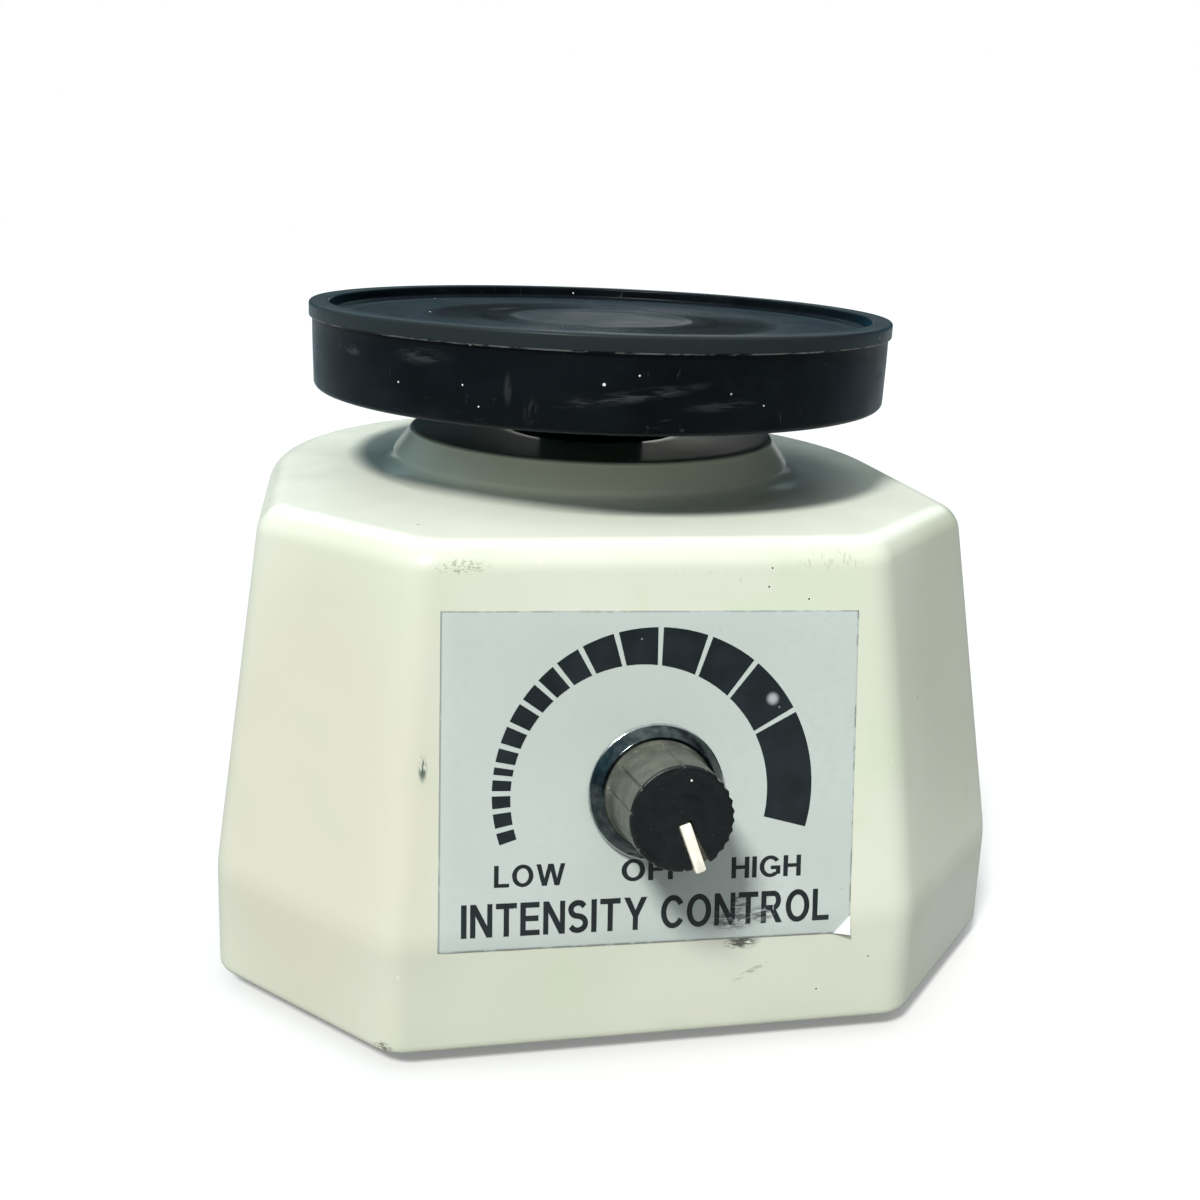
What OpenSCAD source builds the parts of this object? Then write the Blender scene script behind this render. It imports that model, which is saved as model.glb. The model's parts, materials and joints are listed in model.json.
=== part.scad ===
// Dental-laboratory vibrator: a cast housing with a sprung, magnet-driven table on top
// and a speed knob on its sloping front. Millimetres, +Z up, -Y is the front.
// Z = 0 is the surface that the feet stand on.

/* [Housing] */
// Width of the casting at its bottom edge
body_w = 138.6; // [130:0.2:150]
// Width of the flat top
top_w = 121; // [114:0.5:126]
// Height of the casting from its bottom edge to its flat top
body_h = 78; // [74:0.5:84]
// Height of the upright band round the bottom
plinth_h = 19; // [15:0.5:24]
// Distance of the front top edge ahead of the dish axis
top_front = 60.3; // [56:0.1:64]
// Angle by which the front face leans back, in degrees
front_lean = 12.1; // [10:0.1:14]
// Length that each front corner is cut back at the bottom
corner_cut = 27.5; // [20:0.5:32]
// Length that each front corner is cut back at the top
top_corner_cut = 24.3; // [18:0.1:28]
// Distance of the round back's centre behind the dish axis
back_set = 5; // [2:0.5:8]
// Draft of the upright band, per side
plinth_draft = 0.35; // [0.2:0.05:0.6]
// Wall thickness of the casting
wall = 4.5; // [3.5:0.1:5]
// Rounding of the upright corners
corner_round = 7; // [4:0.5:10]
// Rounding of the top edge
edge_round = 4; // [2:0.5:5]
// Distance of the dish axis behind the middle of the whole footprint
dish_y = 4.5; // [4:0.1:5]

/* [Collar] */
// Diameter of the collar where its side meets the top
collar_base_d = 76.5; // [72:0.5:80]
// Diameter of the collar's flat top
collar_top_d = 70; // [66:0.5:72]
// Height of the collar above the flat top
collar_h = 7.2; // [6:0.1:9]
// Radius of the hollow corner round the collar's foot
collar_fillet = 3.5; // [2:0.5:4]
// Diameter of the hole that the seal sits in
collar_bore_d = 32; // [30:0.5:34]

/* [Dish] */
// Outer diameter of the rubber dish
dish_d = 108; // [104:0.5:112]
// Height of the rubber dish
dish_h = 14.9; // [14:0.1:16]
// Gap between the collar and the dish
dish_gap = 8.1; // [7:0.1:9]
// Thickness of the dish's rim at the top
rim_w = 3.6; // [3:0.1:4.5]
// Depth of the dish's floor below its rim
floor_drop = 2.2; // [1.5:0.1:3]
// Thickness of the rubber over the table
rubber_t = 3; // [2:0.1:4]

/* [Knob] */
// Place of the dial's centre to the right of the middle
dial_x = -0.7; // [-3:0.1:3]
// Height of the dial's centre above the casting's bottom edge
dial_h = 40.7; // [36:0.1:44]
// Diameter of the chromed skirt
skirt_d = 21.4; // [21:0.1:23]
// Diameter of the knob's face
knob_face_d = 15.4; // [15:0.1:16]
// Height of the knob's face above the casting
knob_h = 17.25; // [16:0.05:18]
// Angle of the pointer at OFF, clockwise from the top
pointer_angle = 161; // [155:1:185]

/* [Label] */
// Width of the printed label
label_w = 65.6; // [60:0.1:70]
// Place of the label's middle to the right of the housing's middle
label_x = -0.95; // [-2:0.05:2]
// Height of the label's lower edge above the casting's bottom edge
label_low = 16.2; // [15:0.1:18]
// Height of the label's upper edge above the casting's bottom edge
label_high = 68; // [60:0.5:70]
// Thickness of the label
label_t = 0.3; // [0.2:0.05:0.4]

/* [Base] */
// Height of the rubber feet
foot_h = 6; // [5:0.5:8]
// Diameter of a foot at its sole
foot_d = 15; // [13:0.5:18]
// Thickness of the steel base plate
plate_t = 2; // [1.5:0.5:2]

/* [Electromagnet] */
// Width of the iron core
core_w = 48; // [46:1:50]
// Depth of the stack of laminations
core_d = 20; // [18:1:20]
// Air gap under the armature
air_gap = 1.5; // [1.2:0.1:1.6]
// Distance of each spring pillar from the dish axis
pillar_x = 38; // [36:0.5:40]
// Thickness of a leaf spring
spring_t = 0.8; // [0.6:0.1:1]

/* [Hidden] */

$fn = 64;
hair = 0.01; // thickness of a hull's slice
over = 1; // how far a cutter runs past a face

// Clearances
bolt_clear = 0.2; // radial, round a screw
shaft_clear = 0.05; // radial, round the turning shaft
spring_clear = 0.1; // radial, round the centre stud

// Heights of the base
plate_set = 3; // how far the plate sits up inside the casting
lift = foot_h - plate_set; // bottom edge of the casting
base_top = foot_h + plate_t;
boss_h = 15;
boss_r = 5;
rib_w = 5; // web that ties each boss to the wall
// Screw bosses inside the corners: front pair, back pair, from the dish axis
boss_places = [[49, -43], [-49, -43], [37, 42], [-37, 42]];

// Housing
plinth_front = top_front + (body_h - plinth_h) * tan(front_lean);
plinth_half = body_w / 2 - plinth_draft;
wall_n = wall * cos(front_lean); // front wall, measured square to its face
roof_t = 4.5;
collar_top = lift + body_h + collar_h;
collar_core_r = 28;
collar_roof_t = 4;

// Rear cable entry
gland_h = 15; // above the casting's bottom edge
gland_pad_r = 9.5;
gland_pad_out = 1;
gland_pad_in = 1.3;
gland_hole_r = 5.5;
gland_bore_r = 3.6;
gland_lip_r = 8;
gland_lip_t = 2.5;
back_y = back_set + body_w / 2; // back of the casting from the dish axis

// Screw sizes, as radii
m3 = 1.5;
m4 = 2;
m5 = 2.5;
m8 = 4;
pan_ratio = 1.8; // pan head radius over thread radius
pan_h = 0.55; // pan head height over head diameter's half

// Electromagnet, heights above the standing surface
yoke_h = 10;
leg_h = 20;
leg_w = core_w / 6;
core_top = base_top + yoke_h + leg_h;
core_bolt_x = 18;
core_bolt_z = base_top + 6.2;
bracket_t = 2;
bracket_foot = 12;
bracket_h = 8;
bracket_screw_x = 16;
bracket_screw_y = core_d / 2 + 9;
bobbin_t = 1;
bobbin_gap = 0.05;
coil_x = 15.3;
coil_y = 17;
flange_x = 15.8;
flange_y = 17.6;
armature_h = 8;
armature_low = core_top + air_gap;
armature_top = armature_low + armature_h;
armature_plate_t = 2.5;
armature_screw_x = 16;

// Springs
spring_w = 16;
spring_half = 45;
lower_spacer = 6;
upper_spacer = 9;
spring_low_z = armature_top + armature_plate_t + lower_spacer;
spring_high_z = spring_low_z + spring_t + upper_spacer;
spring_top = spring_high_z + spring_t;
pillar_r = 5.5;
clamp_bar = [14, spring_w, 2];
washer_t = 1.4;
m4_nut_af = 7;
m4_nut_h = 3.2;
m8_nut_af = 13;
m8_nut_h = 6.5;

// Table
dish_low = collar_top + dish_gap;
dish_top = dish_low + dish_h;
dish_floor = dish_top - floor_drop;
table_top = dish_floor - rubber_t;
table_r = dish_d / 2 - rim_w - 0.2;
table_t = 3;
skirt_low = dish_low + 1.5;
skirt_w = 4;
lip_r = 44; // inner edge of the rubber hooked under the table
hub_r = 10;
hub_flange_r = 22;
hub_flange_t = 3;
hub_low = collar_top - 2;
hub_thread = 9;
hub_screw_pcd_r = 16;
stud_low = armature_low + 1.5;
stud_top = hub_low + hub_thread;
hub_flange_low = table_top - table_t - hub_flange_t;

// Potentiometer and knob, measured out from the front face
pot_r = 12;
pot_h = 10;
pot_front_t = 1.5;
pot_back = -wall_n - pot_h;
bush_r = 4.7;
shaft_r = 3;
bush_out = 4.2;
washer_out = label_t + 0.5;
nut_af = 12;
nut_t = 2;
switch_h = 8;
tongue_len = 20;
rotor_r = 9.5;
rotor_t = 3;
rotor_gap = 1;
shaft_out = 13.5;
skirt_gap = 0.5; // between the label and the turning skirt
skirt_out = label_t + skirt_gap;
knob_base_r = 8.6;
knob_shoulder = 3.4;
knob_root_r = 8.1;
flutes = 18;
flute_r = 0.7;
flute_depth = 0.3;
pointer_w = 1.6;
pointer_in = 0.9;
pointer_reach = 8.2;
pointer_deep = 1.85;
pointer_proud = 0.4;

// Circuit board
board = [56, 32, 1.6];
board_y = 42; // middle of the board from the dish axis
spacer_h = 6;
board_low = base_top + spacer_h;
board_top = board_low + board[2];
board_hole = [24, 12];

// Fuse
fuse_len = 20;
fuse_r = 2.6;
fuse_y = 10; // behind the board's middle
fuse_h = 5;

// Earth screw, from the dish axis
earth_place = [-40, 28];
earth_tag_t = 0.8;

// Leads, from the dish axis
lead_r = 0.8;
lead_pitch = 1.8;
lead_run_x = -26.6; // first lead of the run beside the magnet
lead_run_z = 9.2;
lead_over_z = 19.5;
board_pad_x = -26.5;
board_pad_y = 37;
board_pad_pitch = 3;
coil_pad = [10.5, 30];

// Size of a casting slice at height h above its bottom edge
function share(h) = (body_h - h) / (body_h - plinth_h);
function half_at(h) = h < plinth_h
  ? plinth_half + plinth_draft * (plinth_h - h) / plinth_h
  : top_w / 2 + (plinth_half - top_w / 2) * share(h);
function front_at(h) = h < plinth_h
  ? plinth_front + plinth_draft * (plinth_h - h) / plinth_h
  : top_front + (body_h - h) * tan(front_lean);
function cut_at(h) = h < plinth_h
  ? corner_cut
  : top_corner_cut + (corner_cut - top_corner_cut) * share(h);

// Points of an arc from angle a to angle b
function arc(cx, cy, r, a, b, n = 8) =
  [for (i = [0 : n]) let (t = a + (b - a) * i / n) [cx + r * cos(t), cy + r * sin(t)]];

// Frames ------------------------------------------------------------------

// On the dish axis, z counted from the standing surface
module on_axis() {
  translate([0, dish_y, 0]) children();
}

// On the front face at the dial's centre: +Z points out, +Y up the slope
module on_dial() {
  translate([dial_x, dish_y - front_at(dial_h), lift + dial_h])
    rotate([90 - front_lean, 0, 0]) children();
}

// On the axis of the rear cable entry: +Z points out to the back
module on_gland() {
  translate([0, dish_y + back_y, lift + gland_h]) rotate([-90, 0, 0]) children();
}

// Shared shapes -----------------------------------------------------------

// Outline of the casting at height h, moved in by inset
module outline(h, inset) {
  half = half_at(h);
  front = front_at(h);
  cut = cut_at(h);
  offset(r = corner_round, $fn = 32) offset(delta = -corner_round - inset) union() {
    polygon([
      [-half, back_set], [-half, cut - front], [cut - half, -front],
      [half - cut, -front], [half, cut - front], [half, back_set]
    ]);
    translate([0, back_set]) circle(r = half, $fn = 96);
  }
}

// Solid with the casting's outline, moved in by inset, from low to high
module casting(inset, low, high, round_r) {
  hull() {
    translate([0, 0, low]) linear_extrude(hair) outline(max(low, 0), inset);
    translate([0, 0, plinth_h - hair]) linear_extrude(hair) outline(plinth_h, inset);
    for (turn = [0 : 30 : 90]) {
      h = high - round_r + round_r * sin(turn);
      translate([0, 0, h - hair]) linear_extrude(hair)
        outline(h, inset + round_r * (1 - cos(turn)));
    }
  }
}

module ring(r_out, r_in, h) {
  difference() {
    cylinder(r = r_out, h = h);
    translate([0, 0, -over]) cylinder(r = r_in, h = h + 2 * over);
  }
}

// Pan-head screw: head above z = 0, thread below, slot across the head
module pan_screw(r, length) {
  head_r = r * pan_ratio;
  head_h = head_r * pan_h;
  translate([0, 0, -length]) cylinder(r = r, h = length);
  difference() {
    cylinder(r = head_r, h = head_h);
    translate([-head_r - over, -r * 0.2, head_h * 0.5])
      cube([2 * (head_r + over), r * 0.4, head_h]);
  }
}

module hex_nut(across, h, hole_r) {
  difference() {
    cylinder(r = across / 2 / cos(30), h = h, $fn = 6);
    translate([0, 0, -over]) cylinder(r = hole_r, h = h + 2 * over);
  }
}

module rounded_block(w, d, h, r) {
  for (x = [-1, 1], y = [-1, 1])
    translate([x * (w / 2 - r), y * (d / 2 - r), 0]) cylinder(r = r, h = h);
  translate([-w / 2, -d / 2 + r, 0]) cube([w, d - 2 * r, h]);
  translate([-w / 2 + r, -d / 2, 0]) cube([w - 2 * r, d, h]);
}

module centred_box(size) {
  translate([-size[0] / 2, -size[1] / 2, 0]) cube(size);
}

// Insulated wire along points
module wire(points, r) {
  for (i = [0 : len(points) - 2])
    hull() {
      translate(points[i]) sphere(r = r, $fn = 16);
      translate(points[i + 1]) sphere(r = r, $fn = 16);
    }
}

module mirrored_x() {
  children();
  mirror([1, 0, 0]) children();
}

module mirrored_y() {
  children();
  mirror([0, 1, 0]) children();
}

// Casing ------------------------------------------------------------------

module collar_solid() {
  top_r = collar_top_d / 2;
  base_r = collar_base_d / 2;
  soft = 0.8;
  fillet = arc(base_r + collar_fillet - 0.5, collar_fillet, collar_fillet, 270, 188);
  translate([0, 0, body_h]) rotate_extrude($fn = 96) polygon(concat(
    [[0, -roof_t], [base_r + collar_fillet, -roof_t], [base_r + collar_fillet, -hair]],
    fillet,
    arc(top_r - soft, collar_h - soft, soft, 10, 90, 4),
    [[0, collar_h]]
  ));
}

module housing() {
  color("#e6e8d8") translate([0, dish_y, lift]) difference() {
    union() {
      difference() {
        casting(0, 0, body_h, edge_round);
        casting(wall, -over, body_h - roof_t, edge_round - over);
      }
      collar_solid();
      intersection() {
        for (place = boss_places)
          translate([place[0], place[1], plate_set + plate_t]) {
            cylinder(r = boss_r, h = boss_h);
            rotate([0, 0, atan2(place[1], place[0])])
              translate([0, -rib_w / 2, 0]) cube([24, rib_w, boss_h]);
          }
        casting(wall / 2, 0, body_h, edge_round);
      }
      translate([0, back_y - wall - gland_pad_in, gland_h]) rotate([-90, 0, 0])
        cylinder(r = gland_pad_r, h = wall + gland_pad_in + gland_pad_out);
    }
    translate([0, 0, body_h - roof_t - over])
      cylinder(r = collar_core_r, h = collar_h + roof_t + over - collar_roof_t);
    translate([0, 0, body_h]) cylinder(r = collar_bore_d / 2, h = collar_h + over);
    for (place = boss_places)
      translate([place[0], place[1], 0]) cylinder(r = m4, h = plate_set + plate_t + boss_h - 3);
    translate([0, back_y, gland_h]) rotate([-90, 0, 0])
      translate([0, 0, -wall - gland_pad_in - over]) cylinder(r = gland_hole_r, h = 12);
    translate([dial_x, -front_at(dial_h), dial_h]) rotate([90 - front_lean, 0, 0])
      translate([0, 0, -wall_n - over]) cylinder(r = bush_r + bolt_clear, h = wall_n + 2 * over);
  }
}

// Printed label, bent over the top of the upright band
module front_label() {
  heights = [label_low, plinth_h, label_high];
  inner = [for (h = heights) [-front_at(h), h]];
  outer = [for (i = [2 : -1 : 0]) [-front_at(heights[i]) - label_t, heights[i]]];
  color("#c8cfcf") difference() {
    translate([label_x - label_w / 2, dish_y, lift]) rotate([90, 0, 90])
      linear_extrude(label_w) polygon(concat(inner, outer));
    on_dial() translate([0, 0, -over]) cylinder(r = bush_r + bolt_clear, h = 2 * over);
  }
}

// Seal in the collar's hole, with a lip that rises round the hub
module dust_boot() {
  hole_r = collar_bore_d / 2;
  flange_r = hole_r + 1.5;
  neck_r = hole_r - 1.6;
  roof_low = -collar_roof_t;
  lip_gap = 1;
  color("#15171a") on_axis() translate([0, 0, collar_top]) rotate_extrude() polygon([
    [hole_r, 0], [flange_r, 0], [flange_r, 0.8], [flange_r - 0.4, 1.2], [neck_r + 0.8, 1.2],
    [hub_r + lip_gap + 1, 5], [hub_r + lip_gap, 5], [neck_r, 0.6],
    [neck_r, roof_low - 1.2], [flange_r, roof_low - 1.2], [flange_r, roof_low],
    [hole_r, roof_low]
  ]);
}

// Base --------------------------------------------------------------------

module base_plate() {
  color("#b4b6b8") on_axis() difference() {
    translate([0, 0, foot_h]) linear_extrude(plate_t) outline(0, wall + 0.6);
    for (place = boss_places)
      translate([place[0], place[1], foot_h - over])
        cylinder(r = m4 + bolt_clear, h = plate_t + 2 * over);
    for (x = [-1, 1], y = [-1, 1])
      translate([x * bracket_screw_x, y * bracket_screw_y, foot_h - over])
        cylinder(r = m4, h = plate_t + 2 * over);
    mirrored_x() translate([pillar_x, 0, foot_h - over])
      cylinder(r = m5 + bolt_clear, h = plate_t + 2 * over);
    translate([earth_place[0], earth_place[1], foot_h - over])
      cylinder(r = m4, h = plate_t + 2 * over);
  }
}

foot_recess_r = 4.4;
foot_recess_h = 3;

module rubber_feet() {
  soft = 1;
  color("#1c1d1f") on_axis() for (place = boss_places)
    translate([place[0], place[1], 0]) rotate_extrude() polygon([
      [foot_recess_r, 0], [foot_d / 2 - soft, 0], [foot_d / 2, soft],
      [foot_d / 2 + 1, foot_h], [m4 + bolt_clear, foot_h],
      [m4 + bolt_clear, foot_recess_h], [foot_recess_r, foot_recess_h]
    ]);
}

module foot_screws() {
  color("#c2c4c6") on_axis() for (place = boss_places)
    translate([place[0], place[1], foot_recess_h]) mirror([0, 0, 1])
      pan_screw(m4, base_top + boss_h - foot_recess_h - 4);
}

// Electromagnet -----------------------------------------------------------

module core_laminations() {
  half = core_w / 2;
  color("#6e6a64") on_axis() difference() {
    translate([-half, -core_d / 2, base_top]) cube([core_w, core_d, yoke_h + leg_h]);
    mirrored_x() translate([leg_w, -core_d, base_top + yoke_h])
      cube([leg_w, 2 * core_d, leg_h + over]);
    mirrored_x() translate([core_bolt_x, core_d, core_bolt_z]) rotate([90, 0, 0])
      cylinder(r = m4, h = 2 * core_d);
  }
}

bobbin_in = [2 * (leg_w + bobbin_gap), core_d + 2 * bobbin_gap];
bobbin_low = base_top + yoke_h;
bobbin_h = leg_h - 1;

module coil_bobbin() {
  flange = [2 * flange_x, 2 * flange_y, bobbin_t];
  tube = [bobbin_in[0] + 2 * bobbin_t, bobbin_in[1] + 2 * bobbin_t, bobbin_h];
  color("#e9e2cf") on_axis() translate([0, 0, bobbin_low]) difference() {
    union() {
      centred_box(flange);
      translate([0, 0, bobbin_h - bobbin_t]) centred_box(flange);
      centred_box(tube);
    }
    translate([0, 0, -over]) centred_box([bobbin_in[0], bobbin_in[1], bobbin_h + 2 * over]);
  }
}

module coil_winding() {
  h = bobbin_h - 2 * bobbin_t;
  inner = [bobbin_in[0] + 2 * bobbin_t, bobbin_in[1] + 2 * bobbin_t, h + 2 * over];
  color("#a8502a") on_axis() translate([0, 0, bobbin_low + bobbin_t]) difference() {
    rounded_block(2 * coil_x, 2 * coil_y, h, 4);
    translate([0, 0, -over]) centred_box(inner);
  }
}

module core_brackets() {
  y = core_d / 2;
  color("#b4b6b8") on_axis() mirrored_y() difference() {
    union() {
      translate([-core_w / 2, y, base_top]) cube([core_w, bracket_t, bracket_h]);
      translate([-core_w / 2, y, base_top]) cube([core_w, bracket_t + bracket_foot, bracket_t]);
      mirrored_x() translate([core_bolt_x, y + bracket_t, core_bolt_z]) rotate([90, 0, 0])
        cylinder(r = 3, h = bracket_t);
    }
    mirrored_x() translate([core_bolt_x, y + 2 * over + bracket_t, core_bolt_z])
      rotate([90, 0, 0]) cylinder(r = m4, h = bracket_t + 3 * over);
    mirrored_x() translate([bracket_screw_x, bracket_screw_y, base_top - over])
      cylinder(r = m4 + bolt_clear, h = bracket_t + 2 * over);
  }
}

module core_bolts() {
  y = core_d / 2 + bracket_t;
  color("#c2c4c6") on_axis() mirrored_x() translate([core_bolt_x, -y, core_bolt_z])
    rotate([90, 0, 0]) pan_screw(m4, 2 * y + m4_nut_h);
}

module core_nuts() {
  color("#c2c4c6") on_axis() mirrored_x()
    translate([core_bolt_x, core_d / 2 + bracket_t, core_bolt_z]) rotate([-90, 0, 0])
      hex_nut(m4_nut_af, m4_nut_h, m4);
}

module bracket_screws() {
  color("#c2c4c6") on_axis() for (x = [-1, 1], y = [-1, 1])
    translate([x * bracket_screw_x, y * bracket_screw_y, base_top + bracket_t])
      pan_screw(m4, bracket_t + plate_t + 0.5);
}

// Spring suspension -------------------------------------------------------

module spring_pillars() {
  h = spring_low_z - base_top;
  deep = 12;
  color("#a9abad") on_axis() mirrored_x() translate([pillar_x, 0, base_top]) difference() {
    cylinder(r = pillar_r, h = h);
    translate([0, 0, -over]) cylinder(r = m5, h = deep + over);
    translate([0, 0, h - deep]) cylinder(r = m5, h = deep + over);
  }
}

module pillar_screws() {
  color("#c2c4c6") on_axis() mirrored_x() translate([pillar_x, 0, foot_h])
    mirror([0, 0, 1]) pan_screw(m5, plate_t + 10);
}

module leaf_spring(z) {
  color("#8e98a3") on_axis() translate([0, 0, z]) difference() {
    union() {
      centred_box([2 * (spring_half - spring_w / 2), spring_w, spring_t]);
      mirrored_x() translate([spring_half - spring_w / 2, 0, 0])
        cylinder(r = spring_w / 2, h = spring_t);
    }
    translate([0, 0, -over]) cylinder(r = m8 + spring_clear, h = spring_t + 2 * over);
    mirrored_x() translate([pillar_x, 0, -over])
      cylinder(r = m5 + bolt_clear, h = spring_t + 2 * over);
  }
}

module leaf_spring_lower() {
  leaf_spring(spring_low_z);
}

module leaf_spring_upper() {
  leaf_spring(spring_high_z);
}

module spring_spacers() {
  color("#a9abad") on_axis() mirrored_x()
    translate([pillar_x, 0, spring_low_z + spring_t])
      ring(pillar_r, m5 + bolt_clear, upper_spacer);
}

module spring_clamp_bars() {
  color("#b4b6b8") on_axis() mirrored_x() translate([pillar_x, 0, spring_top]) difference() {
    centred_box(clamp_bar);
    translate([0, 0, -over]) cylinder(r = m5 + bolt_clear, h = clamp_bar[2] + 2 * over);
  }
}

module clamp_screws() {
  reach = clamp_bar[2] + 2 * spring_t + upper_spacer + 9;
  color("#c2c4c6") on_axis() mirrored_x()
    translate([pillar_x, 0, spring_top + clamp_bar[2]]) pan_screw(m5, reach);
}

// Moving table ------------------------------------------------------------

module armature() {
  color("#6e6a64") on_axis() translate([0, 0, armature_low]) difference() {
    centred_box([core_w, core_d, armature_h]);
    translate([0, 0, stud_low - armature_low]) cylinder(r = m8, h = armature_h);
    mirrored_x() translate([armature_screw_x, 0, 2]) cylinder(r = m4, h = armature_h);
  }
}

module armature_plate() {
  color("#b4b6b8") on_axis() translate([0, 0, armature_top]) difference() {
    centred_box([core_w, core_d, armature_plate_t]);
    translate([0, 0, -over]) cylinder(r = m8, h = armature_plate_t + 2 * over);
    mirrored_x() translate([armature_screw_x, 0, -over])
      cylinder(r = m4, h = armature_plate_t + 2 * over);
  }
}

module armature_screws() {
  reach = armature_plate_t + armature_h - 2;
  color("#c2c4c6") on_axis() mirrored_x()
    translate([armature_screw_x, 0, armature_top + armature_plate_t]) pan_screw(m4, reach);
}

module centre_stud() {
  color("#c2c4c6") on_axis() translate([0, 0, stud_low])
    cylinder(r = m8, h = stud_top - stud_low);
}

module centre_spacers() {
  color("#a9abad") on_axis() {
    translate([0, 0, armature_top + armature_plate_t]) ring(8, m8, lower_spacer);
    translate([0, 0, spring_low_z + spring_t]) ring(7, m8, upper_spacer);
    translate([0, 0, spring_top]) ring(9, m8, washer_t);
  }
}

module stud_nuts() {
  color("#c2c4c6") on_axis() for (z = [spring_top + washer_t, hub_low - m8_nut_h])
    translate([0, 0, z]) hex_nut(m8_nut_af, m8_nut_h, m8);
}

module at_hub_screws() {
  for (turn = [90, 210, 330])
    rotate([0, 0, turn]) translate([hub_screw_pcd_r, 0, 0]) children();
}

module platform_hub() {
  color("#a9abad") on_axis() difference() {
    union() {
      translate([0, 0, hub_low]) cylinder(r = hub_r, h = hub_flange_low - hub_low);
      translate([0, 0, hub_flange_low]) cylinder(r = hub_flange_r, h = hub_flange_t);
    }
    translate([0, 0, hub_low - over]) cylinder(r = m8, h = hub_thread + over);
    at_hub_screws() translate([0, 0, hub_flange_low - over])
      cylinder(r = m4, h = hub_flange_t + 2 * over);
  }
}

countersink = 2.2;

module platform_plate() {
  color("#b9bcc0") on_axis() difference() {
    union() {
      translate([0, 0, table_top - table_t]) cylinder(r = table_r, h = table_t, $fn = 128);
      translate([0, 0, skirt_low]) ring(table_r, table_r - skirt_w, table_top - skirt_low);
    }
    at_hub_screws() {
      translate([0, 0, table_top - table_t - over]) cylinder(r = m4, h = table_t + 2 * over);
      translate([0, 0, table_top - countersink])
        cylinder(r1 = m4, r2 = m4 + countersink, h = countersink);
    }
  }
}

module hub_screws() {
  slot = 0.8;
  color("#c2c4c6") on_axis() at_hub_screws() difference() {
    union() {
      translate([0, 0, hub_flange_low]) cylinder(r = m4, h = table_top - hub_flange_low);
      translate([0, 0, table_top - countersink])
        cylinder(r1 = m4, r2 = m4 + countersink, h = countersink);
    }
    translate([-5, -slot / 2, table_top - slot]) cube([10, slot, 2 * slot]);
  }
}

// Rubber cap stretched over the table and hooked under its edge
module rubber_dish() {
  out_r = dish_d / 2;
  in_r = out_r - rim_w;
  band_step = 0.4;
  band_low = dish_top - 3.4;
  low_round = 1.8;
  color("#17191c") on_axis() rotate_extrude($fn = 128) polygon(concat(
    [[lip_r, dish_low]],
    arc(out_r - band_step - low_round, dish_low + low_round, low_round, 270, 360, 4),
    [[out_r - band_step, band_low - 0.3], [out_r, band_low], [out_r, dish_top - 0.4],
     [out_r - 0.4, dish_top], [in_r + 0.4, dish_top], [in_r, dish_top - 0.4],
     [in_r, dish_floor + 0.6], [in_r - 0.6, dish_floor], [0, dish_floor], [0, table_top],
     [table_r, table_top], [table_r, skirt_low], [lip_r, skirt_low]]
  ));
}

// Knob and potentiometer --------------------------------------------------

module knob_body() {
  face_r = knob_face_d / 2;
  lean = atan((knob_root_r - face_r) / (knob_h - knob_shoulder));
  color("#26282a") on_dial() difference() {
    rotate_extrude() polygon([
      [shaft_r, bush_out + 0.8], [5.2, bush_out + 0.8], [5.2, 3.6], [7.5, 3.6],
      [7.5, skirt_out], [knob_base_r, skirt_out], [knob_base_r, knob_shoulder],
      [knob_root_r, knob_shoulder], [face_r, knob_h - 0.4], [face_r - 0.4, knob_h],
      [0, knob_h], [0, shaft_out], [shaft_r, shaft_out]
    ]);
    for (i = [0 : flutes - 1])
      rotate([0, 0, i * 360 / flutes])
        translate([knob_root_r + flute_r - flute_depth, 0, knob_shoulder + 0.8])
          rotate([0, -lean, 0]) cylinder(r = flute_r, h = knob_h - knob_shoulder - 2);
    rotate([0, 0, -pointer_angle])
      translate([-pointer_w / 2, pointer_in, knob_h - pointer_deep])
        cube([pointer_w, pointer_reach + over, pointer_deep + over]);
  }
}

module knob_skirt() {
  r = skirt_d / 2;
  color("#c9ccce") on_dial() rotate_extrude() polygon([
    [knob_base_r, skirt_out], [r - 0.2, skirt_out], [r, skirt_out + 0.2],
    [r, skirt_out + 0.8], [r - 0.5, skirt_out + 1.2], [knob_base_r + 0.4, knob_shoulder],
    [knob_base_r, knob_shoulder]
  ]);
}

module knob_pointer() {
  color("#e8e6dc") on_dial() rotate([0, 0, -pointer_angle])
    translate([-pointer_w / 2, pointer_in, knob_h - pointer_deep])
      cube([pointer_w, pointer_reach - pointer_in, pointer_deep + pointer_proud]);
}

rotor_low = -wall_n - pot_front_t - rotor_gap - rotor_t;

module pot_shaft() {
  color("#b9bcc0") on_dial() translate([0, 0, rotor_low])
    cylinder(r = shaft_r, h = shaft_out - rotor_low);
}

module pot_rotor() {
  color("#3a2f28") on_dial() translate([0, 0, rotor_low]) ring(rotor_r, shaft_r, rotor_t);
}

module pot_case() {
  color("#b4b6b8") on_dial() translate([0, 0, pot_back]) difference() {
    union() {
      cylinder(r = pot_r, h = pot_h);
      translate([-8, -tongue_len, pot_h - pot_front_t]) cube([16, tongue_len, pot_front_t]);
    }
    translate([0, 0, -over]) cylinder(r = pot_r - 1, h = pot_h - pot_front_t + over);
    translate([0, 0, -over]) cylinder(r = bush_r, h = pot_h + 2 * over);
  }
}

module pot_bush() {
  low = -wall_n - pot_front_t;
  color("#c8a95a") on_dial() translate([0, 0, low])
    ring(bush_r, shaft_r + shaft_clear, bush_out - low);
}

module pot_washer() {
  color("#c2c4c6") on_dial() translate([0, 0, label_t]) ring(7, bush_r, washer_out - label_t);
}

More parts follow.
